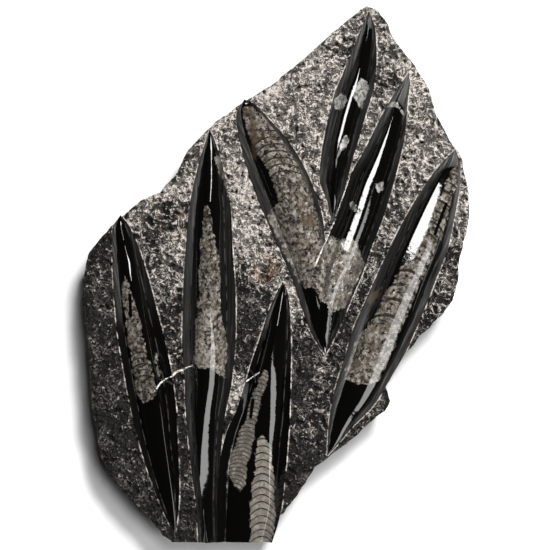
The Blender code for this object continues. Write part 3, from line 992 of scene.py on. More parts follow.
@dataclass(frozen=True)
class PeckedLimestone:
    """Charcoal limestone pecked with a point, each stroke leaving crushed pale stone."""

    charcoal: Colour = (0.0055, 0.0053, 0.005)
    ash: Colour = (0.038, 0.0355, 0.033)
    bruise: Colour = (0.138, 0.125, 0.113)
    crushed: Colour = (0.50, 0.455, 0.415)
    rust: Colour = (0.20, 0.10, 0.045)
    roughness: float = 0.62
    specular: float = 0.10
    relief: float = 1.6
    scratch_levels: tuple[float, ...] = (0.40, 0.50, 0.60)
    scratch_shadow_offset: float = 0.045

    def make(self) -> Material:
        """Build the material.

        Returns:
            The finished material, which reads the slab's attributes.
        """
        sheet = NodeSheet(bpy.data.materials.new("pecked_limestone"))
        fine, fleck = sheet.grain(0.85, 2.0, 0.7), sheet.grain(2.7, 2.5, 0.64, 1.3)
        stroke, scratch = sheet.grain(3.0, 1.0, 0.5, 0.7), sheet.grain(6.0, 1.2, 0.4, 0.6)
        cloud, relief = sheet.grain(8.0, 3.0, 0.6), sheet.attribute("relief")
        density = sheet.attribute("bruise") + (cloud - 0.5) * 2.6

        # The stone between the strokes, paler where it is more bruised.
        dark = sheet.mix(fine.ease(0.44, 0.74), self.charcoal, self.ash)
        light = sheet.mix(fine.ease(0.28, 0.72), self.ash, self.bruise)
        tone = sheet.mix(density.ease(0.15, 1.0), dark, light)
        bare = sheet.mix(fine.ease(0.28, 0.76), self.bruise, self.crushed)
        tone = sheet.mix(density.ease(1.2, 2.0), tone, bare)
        tone = sheet.mix(fleck.ease(0.35, 0.28) * 0.8, tone, self.charcoal)

        # Crushed stone in flecks, short seams and long scratches, each scratch with a painted shadow beside
        # it, and on the lips, where the pale is partly painted light.
        start = density * -0.11 + 0.72 + relief * -0.09
        gate = fleck + density * 0.10
        seam = (abs(stroke - 0.5) + fine * 0.02).ease(0.030, 0.018) * gate.ease(0.53, 0.60)
        mark = fleck.ease(start, start + 0.05).greater(seam)
        drawn = cloud.ease(0.47, 0.56) * (density.ease(-0.2, 0.9) * 0.72 + 0.28)
        for level in self.scratch_levels:
            line = (abs(scratch - level) + fine * 0.02).ease(0.032, 0.021)
            mark = mark.greater(line * drawn)
            # Painted shadow: a dark line just beside each scratch.
            scratch_shadow = abs(scratch - (level + self.scratch_shadow_offset)).ease(0.024, 0.012)
            tone = sheet.mix(scratch_shadow * 0.55, tone, self.charcoal)
        # The lips' pale is partly crushed stone and partly painted light on the raised rims of the strokes.
        lip = (relief + fine * 0.5).ease(0.46, 0.56) * gate.ease(0.49, 0.56)
        freshness = (density.ease(-0.6, 1.0) * 0.75 + 0.25) * fine.ease(0.32, 0.60)
        pale = sheet.mix(freshness, self.bruise, self.crushed)
        colour = sheet.mix(mark.greater(lip), tone, pale)
        # Painted shade: the deepest pits are darkened to charcoal.
        colour = sheet.mix(relief.ease(-0.55, -1.3), colour, self.charcoal)

        # Crushed edges beside the fossils, the white vein and the rust.
        gap = (sheet.attribute("gap") + fine * -0.9).ease(0.35, 0.0)
        colour = sheet.mix(gap * cloud.ease(0.40, 0.56) * 0.8, colour, self.crushed)
        white_line = (sheet.attribute("white_line_distance") + (fleck - 0.5)).ease(0.75, 0.40)
        colour = sheet.mix(white_line, colour, self.crushed)
        rust = sheet.attribute("rust") * cloud.ease(0.45, 0.62) * 0.7
        sheet.bump(fleck * 0.7 + fine * 0.3, self.relief)
        return sheet.finish(sheet.mix(rust, colour, self.rust), self.roughness, self.specular)


@dataclass(frozen=True)
class BrokenLimestone:
    """The slab's broken sides: charcoal with pale scuffs on the facets' edges."""

    charcoal: Colour = (0.020, 0.019, 0.018)
    ash: Colour = (0.085, 0.079, 0.072)
    scuff: Colour = (0.36, 0.33, 0.29)
    roughness: float = 0.7
    specular: float = 0.3
    relief: float = 0.8

    def make(self) -> Material:
        """Build the material.

        Returns:
            The finished material.
        """
        sheet = NodeSheet(bpy.data.materials.new("broken_limestone"))
        fine, cloud = sheet.grain(1.1, 4.0, 0.66), sheet.grain(9.0, 4.0, 0.6, 0.8)
        tone = sheet.mix(cloud.ease(0.36, 0.64), self.charcoal, self.ash)
        mark = fine.ease(0.56, 0.66) * cloud.ease(0.45, 0.62)
        sheet.bump(fine + cloud, self.relief)
        return sheet.finish(sheet.mix(mark, tone, self.scuff), self.roughness, self.specular)


@dataclass(frozen=True)
class SawnLimestone:
    """The sawn back: flat gray with the blade's fine straight scratches."""

    gray: Colour = (0.060, 0.057, 0.053)
    pale: Colour = (0.115, 0.109, 0.100)
    scratch_pitch: float = 2.4
    waves_per_scale: float = 0.314
    roughness: float = 0.55
    specular: float = 0.35
    relief: float = 0.12

    def make(self) -> Material:
        """Build the material.

        Returns:
            The finished material.
        """
        sheet = NodeSheet(bpy.data.materials.new("sawn_limestone"))
        cloud, fine = sheet.grain(22.0, 5.0, 0.62), sheet.grain(0.9, 3.0, 0.6)
        scale = self.waves_per_scale / (self.scratch_pitch * MM)
        inputs = {"Vector": sheet.place, "Scale": scale}
        inputs |= {"Distortion": 1.6, "Detail": 3.0, "Detail Scale": 0.4}
        line = sheet.node("TexWave", "Fac", inputs, bands_direction="X")
        tone = sheet.mix(cloud.ease(0.35, 0.65), self.gray, self.pale)
        share = line.ease(0.55, 0.95) * fine.ease(0.35, 0.65) * 0.5
        sheet.bump(line + fine, self.relief)
        return sheet.finish(sheet.mix(share, tone, self.pale), self.roughness, self.specular)


@dataclass(frozen=True)
class WhiteFloor:
    """The studio's plain matt floor."""

    white: Colour = (0.64, 0.64, 0.64)
    roughness: float = 0.9
    specular: float = 0.1

    def make(self) -> Material:
        """Build the material."""
        sheet = NodeSheet(bpy.data.materials.new("white_floor"))
        return sheet.finish(self.white, self.roughness, self.specular)


# ---- Pieces ----


class Slot(Enum):
    """Where each finish stands in a piece's list of materials."""

    FACE = 0
    BROKEN = 1
    SAWN = 2


@dataclass(frozen=True)
class Tile:
    """A rectangle of a piece's map: its lower left corner and its size."""

    u: float
    v: float
    width: float
    height: float

    def spots(self, right: Array, up: Array) -> Array:
        """One row of u, v for each pair of shares of the width and height."""
        return np.stack([self.u + right * self.width, self.v + up * self.height], axis=-1)


# The fossils' map: the top above the skirt and bottom, and the two caps beside them.
TOP_LEVELS = (0.30, 0.98)
SKIRT_LEVELS = (0.23, 0.17, 0.11, 0.05, 0.0)
SEAM_LEVELS = (0.29, 0.23)
RUN_START, RUN_SIZE = 0.01, 0.93
CAP_RADIUS = 0.018
CAP_CENTRES = ((0.972, 0.25), (0.972, 0.75))

# The slab's map: the face from above, the walls as columns, the back small.
FACE_TILE = Tile(0.005, 0.01, 0.98 * HALF_WIDTH / HALF_LENGTH, 0.98)
BACK_TILE = Tile(0.93, 0.01, 0.065, 0.09)
WALL_TILE = Tile(0.72, 0.01, 0.06, 0.95)
WALL_COLUMNS, WALL_COLUMN_STEP = 3, 0.068


@dataclass
class PolishedFossil:
    """One polished spindle as a closed body, bedded below the slab's face."""

    spindle: Spindle
    order: int
    row_pitch: float = 0.7
    bevel_steps: int = 8
    body_steps: int = 36
    foot_height: float = FACE_HEIGHT - 9.0
    skirt_inset: float = 0.35
    settle: float = 0.05
    set_back: float = 0.03
    sharp_angle: float = 28.0

    def across_shares(self, along: Array) -> Array:
        """Columns across the top: even over the bevels, and closer towards the body's sides.

        On the body the share of the way from crest to groove is the cosine of even angles.

        Args:
            along: Shares along the chord, one for each row.

        Returns:
            Across shares, one row for each share along the chord.
        """
        left, right = self.spindle.grooves
        crest = self.spindle.read("crest", along)[:, None]
        step = np.linspace(0.0, 1.0, self.bevel_steps, endpoint=False)[None, :]
        turn = -np.cos(np.linspace(0.0, math.pi, self.body_steps + 1))[None, :]
        body = np.where(turn < 0.0, crest + turn * (crest - left), crest + turn * (right - crest))
        ones = np.ones_like(crest)
        near, far = -1.0 + (left + 1.0) * step, 1.0 + (right - 1.0) * step[:, ::-1]
        return np.hstack([near * ones, body, far * ones])

    def top_grid(self) -> Array:
        """Points of the top as rows along the chord and columns across it.

        A fossil that runs into the sawn foot has its rows squeezed so that the last one lies in
        the saw's plane.

        Returns:
            An array of rows by columns by x, y, z, in mm.
        """
        spindle = self.spindle
        even = np.linspace(0.0, 1.0, int(spindle.length / self.row_pitch) + 1)
        across = self.across_shares(even)
        (_, uy), (_, ny) = spindle.directions()
        reach = np.ones(across.shape[1])
        if spindle.is_sawn:
            side = spindle.sway[-1] + across[-1] * spindle.half[-1]
            reach = (SAWN_FOOT_Y - spindle.tip[1] - side * ny) / (spindle.length * uy)
        along = even[:, None] * reach[None, :]
        x, y = spindle.place(along, across)
        if spindle.is_sawn:
            y[-1] = SAWN_FOOT_Y + self.set_back
        own = np.maximum(spindle.bevel(along, across), spindle.body(along, across))
        z = carved_height(x, y)
        z = np.where(np.isfinite(z), z, own)
        shared = sum(other.is_over(*other.locate(x, y)) for other in SPINDLES) > 1
        return np.stack([x, y, z - self.settle * self.order * shared], axis=-1)

    def build(self) -> Piece:
        """Close the top with a skirt and a flat bottom, and store its map and markings.

        Each row becomes a ring: the top from left to right, down the right skirt, and back along
        the bottom. Rings are joined by quads, and the two ends are capped.

        Returns:
            The closed piece.
        """
        top = self.top_grid()
        middle = top.mean(axis=1, keepdims=True)
        corners = []
        for column, shares in ((-1, (0.5, 1.0)), (0, (1.0, 0.5))):
            edge = top[:, [column], :]
            toward = middle - edge
            width = np.maximum(np.hypot(toward[..., 0], toward[..., 1]), TINY)[..., None]
            edge[..., :2] += toward[..., :2] / width * np.minimum(self.skirt_inset, 0.5 * width)
            for share in shares:
                level = edge.copy()
                level[..., 2] += (self.foot_height - level[..., 2]) * share
                corners.append(level)
        ring = np.concatenate([top, *corners], axis=1)
        rows, size = ring.shape[:2]
        number = np.arange(rows * size).reshape(rows, size)
        after = np.roll(number, -1, axis=1)
        quads = np.stack([number[:-1], number[1:], after[1:], after[:-1]], axis=-1).reshape(-1, 4)
        caps = [number[0].tolist(), number[-1, ::-1].tolist()]
        points = ring.reshape(-1, 3)
        piece = build_object(self.spindle.name, points, quads.tolist() + caps)
        lay_map(piece, self.map_rings(rows, size))
        seal(piece, self.sharp_angle)
        store_markings(piece, self.spindle, points[:, 0], points[:, 1])
        return piece

    def map_rings(self, rows: int, size: int) -> Array:
        """Lay the rings out as a rectangle, the skirt and bottom below the top, the caps beside.

        Args:
            rows: How many rings there are.
            size: How many points each ring has.

        Returns:
            One row of u, v for each corner of the faces.
        """
        top = size - (len(SKIRT_LEVELS) - 1)
        level = np.concatenate([np.linspace(*TOP_LEVELS, top), SKIRT_LEVELS])
        low, high = level[:-1].copy(), level[1:].copy()
        low[top - 1], high[top - 1] = SEAM_LEVELS
        run = RUN_START + RUN_SIZE * np.arange(rows) / (rows - 1)
        near, far = (np.broadcast_to(part[:, None], (rows - 1, size)) for part in (run[:-1], run[1:]))
        u = np.stack([near, far, far, near], axis=-1)
        v = np.broadcast_to(np.stack([low, low, high, high], axis=-1), u.shape)
        quads = np.stack([u, v], axis=-1).reshape(-1, 2)
        angle = np.linspace(0.0, 2.0 * math.pi, size, endpoint=False)
        disc = np.stack([np.cos(angle), np.sin(angle)], axis=-1) * CAP_RADIUS
        return np.concatenate([quads, disc + CAP_CENTRES[0], disc[::-1] + CAP_CENTRES[1]])


@dataclass(frozen=True)
class Cluster:
    """A place on the pecked face where something gathers: where, how wide and how strong."""

    x: float
    y: float
    reach: float
    strength: float

    def weight(self, x: Array, y: Array) -> Array:
        """Strength times e^(-(d/reach)^2) at distance d."""
        return self.strength * np.exp(-((x - self.x) ** 2 + (y - self.y) ** 2) / self.reach**2)


PALE_CLUSTERS = tuple(Cluster(*row) for row in (
    (-19.0, 45.0, 12.0, 0.7), (-14.0, 20.0, 13.0, 0.9), (-8.0, 4.0, 11.0, 0.8), (-57.0, 20.0, 9.0, 0.6),
    (-2.0, 99.0, 9.0, 0.9), (17.0, 118.0, 10.0, 0.4), (-69.0, 42.0, 12.0, 0.5), (87.0, 65.0, 10.0, 0.5),
    (-25.0, -66.0, 12.0, 2.2), (17.0, -17.0, 12.0, 0.5), (20.0, -82.0, 14.0, 0.4),
    (-50.0, -3.0, 14.0, 0.5), (90.0, -20.0, 14.0, 0.15), (-57.0, -65.0, 12.0, 0.3),
    (-60.0, -40.0, 11.0, 1.3), (10.0, -12.0, 11.0, 0.9), (-24.0, 52.0, 12.0, 0.35),
    (-15.0, 30.0, 12.0, 0.4), (14.0, 93.0, 10.0, 0.3), (-57.0, 12.0, 10.0, 0.3), (-49.0, 48.0, 7.0, 0.9),
    (-49.0, 14.0, 7.0, 0.5), (-82.0, 28.0, 10.0, 0.5), (-10.0, 101.0, 7.0, 0.7), (-4.0, 1.0, 5.0, -1.2),
    (96.0, 5.0, 18.0, -0.5), (35.0, -62.0, 32.0, 0.42), (-62.0, -18.0, 16.0, 0.4),
    (-69.0, 4.0, 10.0, 0.6), (-48.0, -75.0, 14.0, 0.35), (-48.0, -110.0, 17.0, 0.4),
    (-18.0, -77.0, 8.0, 1.2), (19.0, -90.0, 8.0, 0.5), (52.0, -86.0, 8.0, 0.5), (8.0, -20.0, 9.0, 0.5),
    (-12.0, 46.0, 24.0, 0.4), (64.0, -18.0, 11.0, 0.4), (40.0, 138.0, 8.0, 0.4),
))
RUST_SPOTS = tuple(Cluster(*row) for row in (
    (-7.0, 3.0, 6.0, 1.0), (-60.0, 30.0, 8.0, 0.4), (20.0, 40.0, 6.0, 0.5),
))


def cell_corners(grid: Array) -> Array:
    """The values at the corners of each cell of a grid, counter-clockwise, along a last axis."""
    return np.stack([grid[:-1, :-1], grid[:-1, 1:], grid[1:, 1:], grid[1:, :-1]], axis=-1)


@dataclass(frozen=True)
class Pecks:
    """One set of the point's strokes, one in each cell of a jittered lattice.

    Half length and half width are in cells; a lip's radius and spread are in pit radii.
    """

    pitch: float
    depth: float
    seed: int
    lean: float = -0.7
    lean_spread: float = 2.2
    least_power: float = 0.35
    half_length: float = 0.85
    half_width: float = 0.36
    lip: float = 0.33
    lip_radius: float = 1.25
    lip_spread: float = 0.28

    def relief(self, x: Array, y: Array) -> Array:
        """Relief in mm, negative in the pits.

        In a stroke's own directions its pit is depth (1 - r^2) within r = 1, and a lip of a third
        of the depth stands round it as a bell curve about lip_radius.

        Args:
            x, y: Places, in mm.

        Returns:
            The relief at each place.
        """
        column, row = np.floor(x / self.pitch), np.floor(y / self.pitch)
        relief = np.zeros(np.shape(x))
        for c, r in [(column + dx, row + dy) for dx in (-1, 0, 1) for dy in (-1, 0, 1)]:
            right, up, turned, strong = (scatter(c, r, self.seed + i) for i in range(4))
            px, py = (c + right) * self.pitch, (r + up) * self.pitch
            turn = self.lean + self.lean_spread * (turned - 0.5)
            power = self.least_power + (1.0 - self.least_power) * strong
            lengthwise = (x - px) * np.cos(turn) + (y - py) * np.sin(turn)
            sideways = (y - py) * np.cos(turn) - (x - px) * np.sin(turn)
            long, wide = self.half_length * self.pitch, self.half_width * self.pitch
            radius = np.hypot(lengthwise / long, sideways / wide)
            pit = -np.maximum(1.0 - radius**2, 0.0)
            lip = self.lip * np.exp(-(((radius - self.lip_radius) / self.lip_spread) ** 2))
            relief += self.depth * power * (pit + lip)
        return relief


COARSE_PECKS = Pecks(4.2, 1.0, 11)
FINE_PECKS = Pecks(2.3, 0.8, 31)
SWELL = Noise(16.0, 2, 51, 0.7)
GRIT = Noise(1.1, 1, 71, 0.25)
RIM_WEAR = Noise(7.0, 1, 91, 0.8)
CHIPS = Noise(4.5, 3, 131, 0.65)
FACETS = Noise(9.0, 3, 211)
WALL_GRIT = Noise(6.0, 3, 231, 0.45)
BRUISES = Noise(30.0, 2, 301, 0.2)


def stroke_relief(x: Array, y: Array) -> Array:
    """Relief of coarse and fine strokes together, in mm."""
    return COARSE_PECKS.relief(x, y) + FINE_PECKS.relief(x, y)


@dataclass
class CarvedSlab:
    """The stone around the fossils: pecked face, broken sides and sawn back, closed."""

    pitch: float = 0.6
    bed_depth: float = 7.0
    bed_margin: float = 2.2
    face_drop: float = 0.35
    relief_limits: Point = (-2.2, 0.9)
    rim_drop: float = 1.7
    rim_reach: float = 4.0
    least_depth: float = 0.12
    rim_band: float = 1.2
    bed_clearance: float = 1.5
    bed_ramp: float = 0.8
    evening_rounds: int = 12
    chip_inset: float = 0.30
    sawn_tolerance: float = 0.4
    wall_rings: int = 14
    wall_run: float = 30.0
    wall_slant: float = 0.12
    wall_fall: float = 40.0
    facet_depth: float = 1.6
    hollow: float = 2.2
    back_inset: float = 5.0
    back_level: float = 0.01
    sharp_angle: float = 62.0
    field_reach: float = 20.0
    bruise_range: Point = (-0.75, 0.75)
    bruise_rise: Point = (-70.0, 75.0)
    bruise_slant: float = 0.35
    bruise_limits: Point = (-1.5, 1.6)

    def face_height(self, x: Array, y: Array, edge: Array) -> Array:
        """Height of the pecked face before the fossils' beds are cut.

        Args:
            x, y: Places, in mm.
            edge: Distance to the slab's outline.

        Returns:
            The height in mm.
        """
        relief = stroke_relief(x, y) + (SWELL.at(x, y) + GRIT.at(x, y))
        worn = self.rim_drop * (1.0 + RIM_WEAR.at(x, y))
        round_off = worn * np.maximum(1.0 - edge / self.rim_reach, 0.0) ** 2
        return FACE_HEIGHT - self.face_drop + np.clip(relief, *self.relief_limits) - round_off

    def face_grid(self) -> tuple[Array, Array, Array, Array, Array]:
        """Cells within the outline, without those that lie whole in the fossils' beds.

        Returns:
            The vertices' x and y, their distance inside the outline, the length round it nearest
            to each, and the vertex numbers of the quads.
        """
        reach = np.abs(np.array(OUTLINE)).max(axis=0) + self.pitch
        across, along = (np.arange(-n, n + 1) * self.pitch for n in np.ceil(reach / self.pitch).astype(int))
        grid_x, grid_y = np.meshgrid(across, along)
        depth, travel = outline_distance(grid_x, grid_y, OUTLINE)
        cover, corner_depth = cell_corners(fossil_cover(grid_x, grid_y)), cell_corners(depth)
        bedded = (cover.min(axis=-1) > self.bed_margin) & (corner_depth.min(axis=-1) > self.bed_clearance)
        kept = (corner_depth.mean(axis=-1) > self.least_depth) & ~bedded
        quads = cell_corners(np.arange(grid_x.size).reshape(grid_x.shape))[kept]
        used, quads = np.unique(quads, return_inverse=True)
        x, y, depth, travel = (grid.ravel()[used] for grid in (grid_x, grid_y, depth, travel))
        return x, y, depth, travel, quads.reshape(-1, 4)

    def build(self) -> Piece:
        """Work out the face on a grid, snap its rim to the outline, and close sides and back.

        Returns:
            The closed slab.
        """
        x, y, depth, travel, quads = self.face_grid()
        rim, after = self.rim_loop(quads, depth)
        x, y, outward = self.snap_rim(x, y, travel, rim, after)
        edge = np.maximum(outline_distance(x, y, OUTLINE)[0], 0.0)
        edge[rim] = 0.0
        z = self.face_height(x, y, edge)
        bed = FACE_HEIGHT - self.bed_depth
        z = z + (bed - z) * ease(fossil_cover(x, y), 0.0, self.bed_ramp * self.bed_margin)
        points = np.stack([x, y, z], axis=-1)
        rings, wall_quads = self.walls(points, rim, after, outward)
        faces = quads.tolist() + wall_quads.tolist()
        piece = build_object("pecked_slab", np.concatenate([points, rings]), faces)
        seal(piece, self.sharp_angle, fill=True)
        self.lay_out(piece, len(quads), len(wall_quads), len(rim))
        self.store_fields(piece)
        return piece

    def rim_loop(self, quads: Array, depth: Array) -> tuple[Array, Array]:
        """Find the outer rim: edges used by one quad only that lie near the outline.

        Args:
            quads: Vertex numbers of the face's quads, all turned the same way.
            depth: Distance of each vertex inside the outline.

        Returns:
            The rim's vertices, and for each the rim position of the vertex after it.
        """
        total, near = len(depth), depth < self.rim_band
        start, end = quads.ravel(), np.roll(quads, -1, axis=1).ravel()
        single = ~np.isin(start * total + end, end * total + start) & near[start] & near[end]
        start, end = start[single], end[single]
        rim = np.unique(start)
        follower, place = np.full(total, -1), np.full(total, -1)
        follower[start] = end
        place[rim] = np.arange(len(rim))
        return rim, place[follower[rim]]

    def snap_rim(
        self, x: Array, y: Array, travel: Array, rim: Array, after: Array
    ) -> tuple[Array, Array, Array]:
        """Move the rim's vertices onto the outline, evened out along it, with small chips.

        Each vertex's length round the outline is averaged with its neighbours' again and again,
        then the point at that length is taken and pushed in or out by noise.

        Args:
            x, y: The face's places, in mm.
            travel: Length round the outline nearest to each vertex.
            rim: The rim's vertices.
            after: The rim position that follows each.

        Returns:
            The new x and y, and the outward unit vectors at the rim.
        """
        corners = np.array(OUTLINE + OUTLINE[:1])
        stops = np.concatenate([[0.0], np.cumsum(np.hypot(*np.diff(corners, axis=0).T))])
        whole = stops[-1]
        before = np.argsort(after)
        length = travel[rim]
        for _ in range(self.evening_rounds):
            ahead = (length[after] - length + whole / 2) % whole - whole / 2
            behind = (length[before] - length + whole / 2) % whole - whole / 2
            length = (length + (ahead + behind) / 4.0) % whole
        new_x, new_y = (np.interp(length, stops, axis) for axis in corners.T)
        run_x, run_y = new_x[after] - new_x[before], new_y[after] - new_y[before]
        run = np.maximum(np.hypot(run_x, run_y), TINY)
        outward = np.stack([run_y / run, -run_x / run], axis=-1)
        chip = CHIPS.at(new_x, new_y) - self.chip_inset
        chip = np.where(new_y < SAWN_FOOT_Y + self.sawn_tolerance, 0.0, chip)
        x, y = x.copy(), y.copy()
        x[rim] = new_x + outward[:, 0] * chip
        y[rim] = np.maximum(new_y + outward[:, 1] * chip, SAWN_FOOT_Y)
        return x, y, outward

    def walls(self, points: Array, rim: Array, after: Array, outward: Array) -> tuple[Array, Array]:
        """Rings from the rim down to the back, leaning in, hollowed at the waist and broken.

        With f the share of the way down, the wall moves in by hollow sin(pi f)^2 and by ridged
        noise that fades at rim and back, and towards the middle by inset f, which can't fold it.

        Args:
            points: The face's points.
            rim: The rim's vertices.
            after: The rim position that follows each.
            outward: Outward unit vectors at the rim.

        Returns:
            The new points, and the quads that join rim and rings.
        """
        top, count = points[rim], len(rim)
        share = (np.arange(1, self.wall_rings + 1) / self.wall_rings)[:, None]
        bell = np.sin(math.pi * share)
        around = self.wall_run * np.arctan2(top[:, 1], top[:, 0])
        around = np.tile(around + self.wall_slant * (top[:, 0] + top[:, 1]), (self.wall_rings, 1))
        height = np.repeat(self.wall_fall * share, count, axis=1)
        facet = np.abs(FACETS.at(around, height))
        rough = WALL_GRIT.at(around * 4.0, height * 2.0)
        inset = self.hollow * bell**2 * (0.5 + facet) + bell * (self.facet_depth * facet + rough)
        inward = top[:, :2] / np.linalg.norm(top[:, :2], axis=1)[:, None] * self.back_inset
        x, y = (top[None, :, i] - outward[None, :, i] * inset - inward[None, :, i] * share for i in (0, 1))
        y = np.where((top[:, 1] < SAWN_FOOT_Y + self.sawn_tolerance)[None, :], SAWN_FOOT_Y, y)
        z = top[None, :, 2] * (1.0 - share)
        rings = np.stack([x, np.maximum(y, SAWN_FOOT_Y), z], axis=-1).reshape(-1, 3)
        numbers = len(points) + np.arange(self.wall_rings * count).reshape(self.wall_rings, count)
        ladder = np.vstack([rim[None, :], numbers])
        upper, lower = ladder[:-1], ladder[1:]
        quads = np.stack([upper, lower, lower[:, after], upper[:, after]], axis=-1).reshape(-1, 4)
        return rings, quads

    def lay_out(self, piece: Piece, face_quads: int, wall_quads: int, count: int) -> None:
        """Map the face from above, the walls as columns and the back small; pick each finish.

        Args:
            piece: The mesh object.
            face_quads: How many quads the face has; they come first.
            wall_quads: How many quads the walls have; they come next.
            count: How many quads go once round.
        """
        mesh, last = piece.data, face_quads + wall_quads
        corners, starts = np.empty(len(mesh.loops), np.int64), np.empty(len(mesh.polygons), np.int64)
        mesh.loops.foreach_get("vertex_index", corners)
        mesh.polygons.foreach_get("loop_start", starts)
        x, y, z = vertex_places(piece)[corners].T
        right, up = (x + HALF_WIDTH) / (2 * HALF_WIDTH), (y + HALF_LENGTH) / (2 * HALF_LENGTH)
        uv = FACE_TILE.spots(right, up)
        owner = np.searchsorted(starts, np.arange(len(corners)), side="right") - 1
        wall = (owner >= face_quads) & (owner < last)
        ring, around = np.divmod(owner[wall] - face_quads, count)
        corner = np.arange(len(corners))[wall] - starts[owner[wall]]
        column_length = -(-count // WALL_COLUMNS)
        column, along = np.divmod(around, column_length)
        side, step = np.isin(corner, (1, 2)), corner > 1
        uv[wall] = WALL_TILE.spots((ring + side) / self.wall_rings, (along + step) / column_length)
        uv[wall, 0] += column * WALL_COLUMN_STEP
        level = z < self.back_level
        back = (owner >= last) & level
        uv[back] = BACK_TILE.spots(right[back], up[back])
        lay_map(piece, uv)
        slots = np.full(len(starts), Slot.FACE.value, np.int32)
        slots[face_quads:last] = Slot.BROKEN.value
        slots[last:][level[starts[last:]]] = Slot.SAWN.value
        mesh.polygons.foreach_set("material_index", slots)

    def store_fields(self, piece: Piece) -> None:
        """Store how bruised and rusty the face is, and how far off fossils and veins are."""
        x, y, _ = vertex_places(piece).T
        low, high = self.bruise_range
        bruise = low + (high - low) * ease(y + self.bruise_slant * x, *self.bruise_rise) + BRUISES.at(x, y)
        bruise = bruise + sum(cluster.weight(x, y) for cluster in PALE_CLUSTERS)
        store(piece, {
            "bruise": np.clip(bruise, *self.bruise_limits),
            "rust": sum(spot.weight(x, y) for spot in RUST_SPOTS),
            "relief": stroke_relief(x, y),
            "gap": np.clip(-fossil_cover(x, y), 0.0, self.field_reach),
            "white_line_distance": np.minimum(line_distance(x, y, VEINS_AND_HIGHLIGHT_LINES[:1]), self.field_reach),
        })


# ---- Studio ----


@dataclass(frozen=True)
class Softbox:
    """A plain rectangular lamp that faces the stone, given by where it is seen from there.

    off_vertical and toward are angles in degrees; toward is measured from +Y to +X.
    """

    name: str
    off_vertical: float
    toward: float
    width: float
    length: float
    radiance: float
    mirrored: bool = True
    distance: float = 2.2

    def place(self) -> Piece:
        """Add the lamp. An area lamp's power is its radiance times pi times its area.

        Returns:
            The linked lamp.
        """
        lamp = bpy.data.lights.new(self.name, "AREA")
        lamp.shape = "RECTANGLE"
        lamp.size, lamp.size_y = self.width, self.length
        lamp.energy = self.radiance * math.pi * self.width * self.length
        item = bpy.data.objects.new(self.name, lamp)
        tilt, turn = math.radians(self.off_vertical), math.radians(self.toward)
        aside, up = self.distance * math.sin(tilt), self.distance * math.cos(tilt)
        item.location = (aside * math.sin(turn), aside * math.cos(turn), up + FACE_HEIGHT * MM)
        item.rotation_euler = (-tilt, 0.0, -turn)
        item.visible_glossy = self.mirrored
        bpy.context.scene.collection.objects.link(item)
        return item


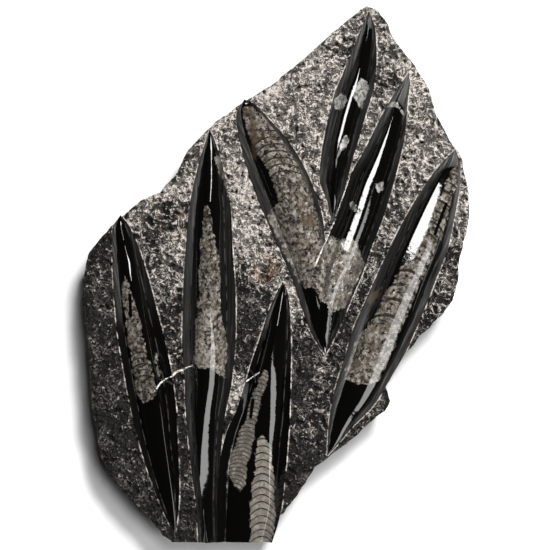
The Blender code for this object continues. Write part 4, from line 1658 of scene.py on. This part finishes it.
@dataclass
class Studio:
    """Pale floor, soft lamps, a room that is white at its horizon and dark overhead, camera.

    The room's directions are told by their upward part, from 0 at the horizon to 1 overhead.
    """

    focal_length: float = 200.0
    sensor_width: float = 36.0
    frame_width: float = 306.9
    centre: Point = (-1.0, -0.7)
    sight_limit: float = 20.0
    horizon: float = 0.5
    overhead: float = 0.03
    white_below: float = 0.20
    dark_above: float = 0.62
    floor_size: float = 6.0
    floor_drop: float = 0.05
    softboxes: tuple[Softbox, ...] = (
        Softbox("key_softbox", 12.8, 38.0, 0.40, 0.52, 26.0),
        Softbox("raking_softbox", 34.0, 27.0, 0.5, 0.5, 106.0, mirrored=False),
        Softbox("fill_softbox", 40.0, 118.0, 1.0, 1.25, 7.0),
    )

    def floor(self) -> Piece:
        """A plain white floor just under the stone."""
        half = self.floor_size / 2 / MM
        sides = np.array([(-half, -half), (half, -half), (half, half), (-half, half)])
        corners = np.column_stack([sides, np.full(len(sides), -self.floor_drop)])
        floor = build_object("floor", corners, [[0, 1, 2, 3]])
        floor.data.materials.append(WhiteFloor().make())
        return floor

    def room(self) -> None:
        """Light the world: white near the horizon and dark overhead."""
        world = bpy.data.worlds.new("studio_room")
        sheet = NodeSheet(world, "Generated")
        rise = sheet.node("SeparateXYZ", "Z", {"Vector": sheet.place})
        inputs = {"Value": rise, "From Min": self.dark_above, "From Max": self.white_below}
        inputs |= {"To Min": self.overhead, "To Max": self.horizon}
        strength = sheet.node("MapRange", "Result", inputs, interpolation_type="SMOOTHSTEP")
        sheet.feed(sheet.tree.nodes["Background"].inputs["Strength"], strength)
        bpy.context.scene.world = world

    def camera(self) -> Piece:
        """Look straight down on the face, with the frame's width set by the focal length."""
        lens = bpy.data.cameras.new("camera")
        lens.lens, lens.sensor_width = self.focal_length, self.sensor_width
        lens.clip_end = self.sight_limit
        camera = bpy.data.objects.new("camera", lens)
        above = self.frame_width * self.focal_length / self.sensor_width
        camera.location = (self.centre[0] * MM, self.centre[1] * MM, (FACE_HEIGHT + above) * MM)
        bpy.context.scene.collection.objects.link(camera)
        bpy.context.scene.camera = camera
        return camera

    def build(self) -> None:
        """Set up floor, room, lamps and camera."""
        self.floor()
        self.room()
        for softbox in self.softboxes:
            softbox.place()
        self.camera()
        bpy.context.scene.view_settings.view_transform = "Standard"


@dataclass
class OrthocerasSlab:
    """The whole stone: the pecked slab and its seven polished fossils."""

    slab: CarvedSlab = field(default_factory=CarvedSlab)
    spindles: tuple[Spindle, ...] = SPINDLES

    def build(self) -> list[Piece]:
        """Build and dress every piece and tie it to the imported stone.

        Returns:
            The finished pieces.
        """
        pieces = [self.slab.build()]
        broken = BrokenLimestone().make()
        for material in (PeckedLimestone().make(), broken, SawnLimestone().make()):
            pieces[0].data.materials.append(material)
        polish = PolishedLimestone().make()
        for order, spindle in enumerate(self.spindles):
            fossil = PolishedFossil(spindle, order).build()
            fossil.data.materials.append(polish)
            if spindle.is_sawn:
                fossil.data.materials.append(broken)
                fossil.data.polygons[-1].material_index = Slot.BROKEN.value
            pieces.append(fossil)
        for piece in pieces:
            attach(piece, "root")
            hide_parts(STONE_NODE)
        return pieces


def report(piece: Piece) -> None:
    """Log a piece's name and how many vertices and faces it has."""
    LOG.info("%s: %d vertices, %d faces", piece.name, len(piece.data.vertices), len(piece.data.polygons))


def main() -> None:
    """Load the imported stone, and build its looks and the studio."""
    logging.basicConfig(level=logging.INFO, format="%(name)s: %(message)s")
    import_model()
    for piece in OrthocerasSlab().build():
        report(piece)
    Studio().build()


if __name__ == "__main__":
    main()
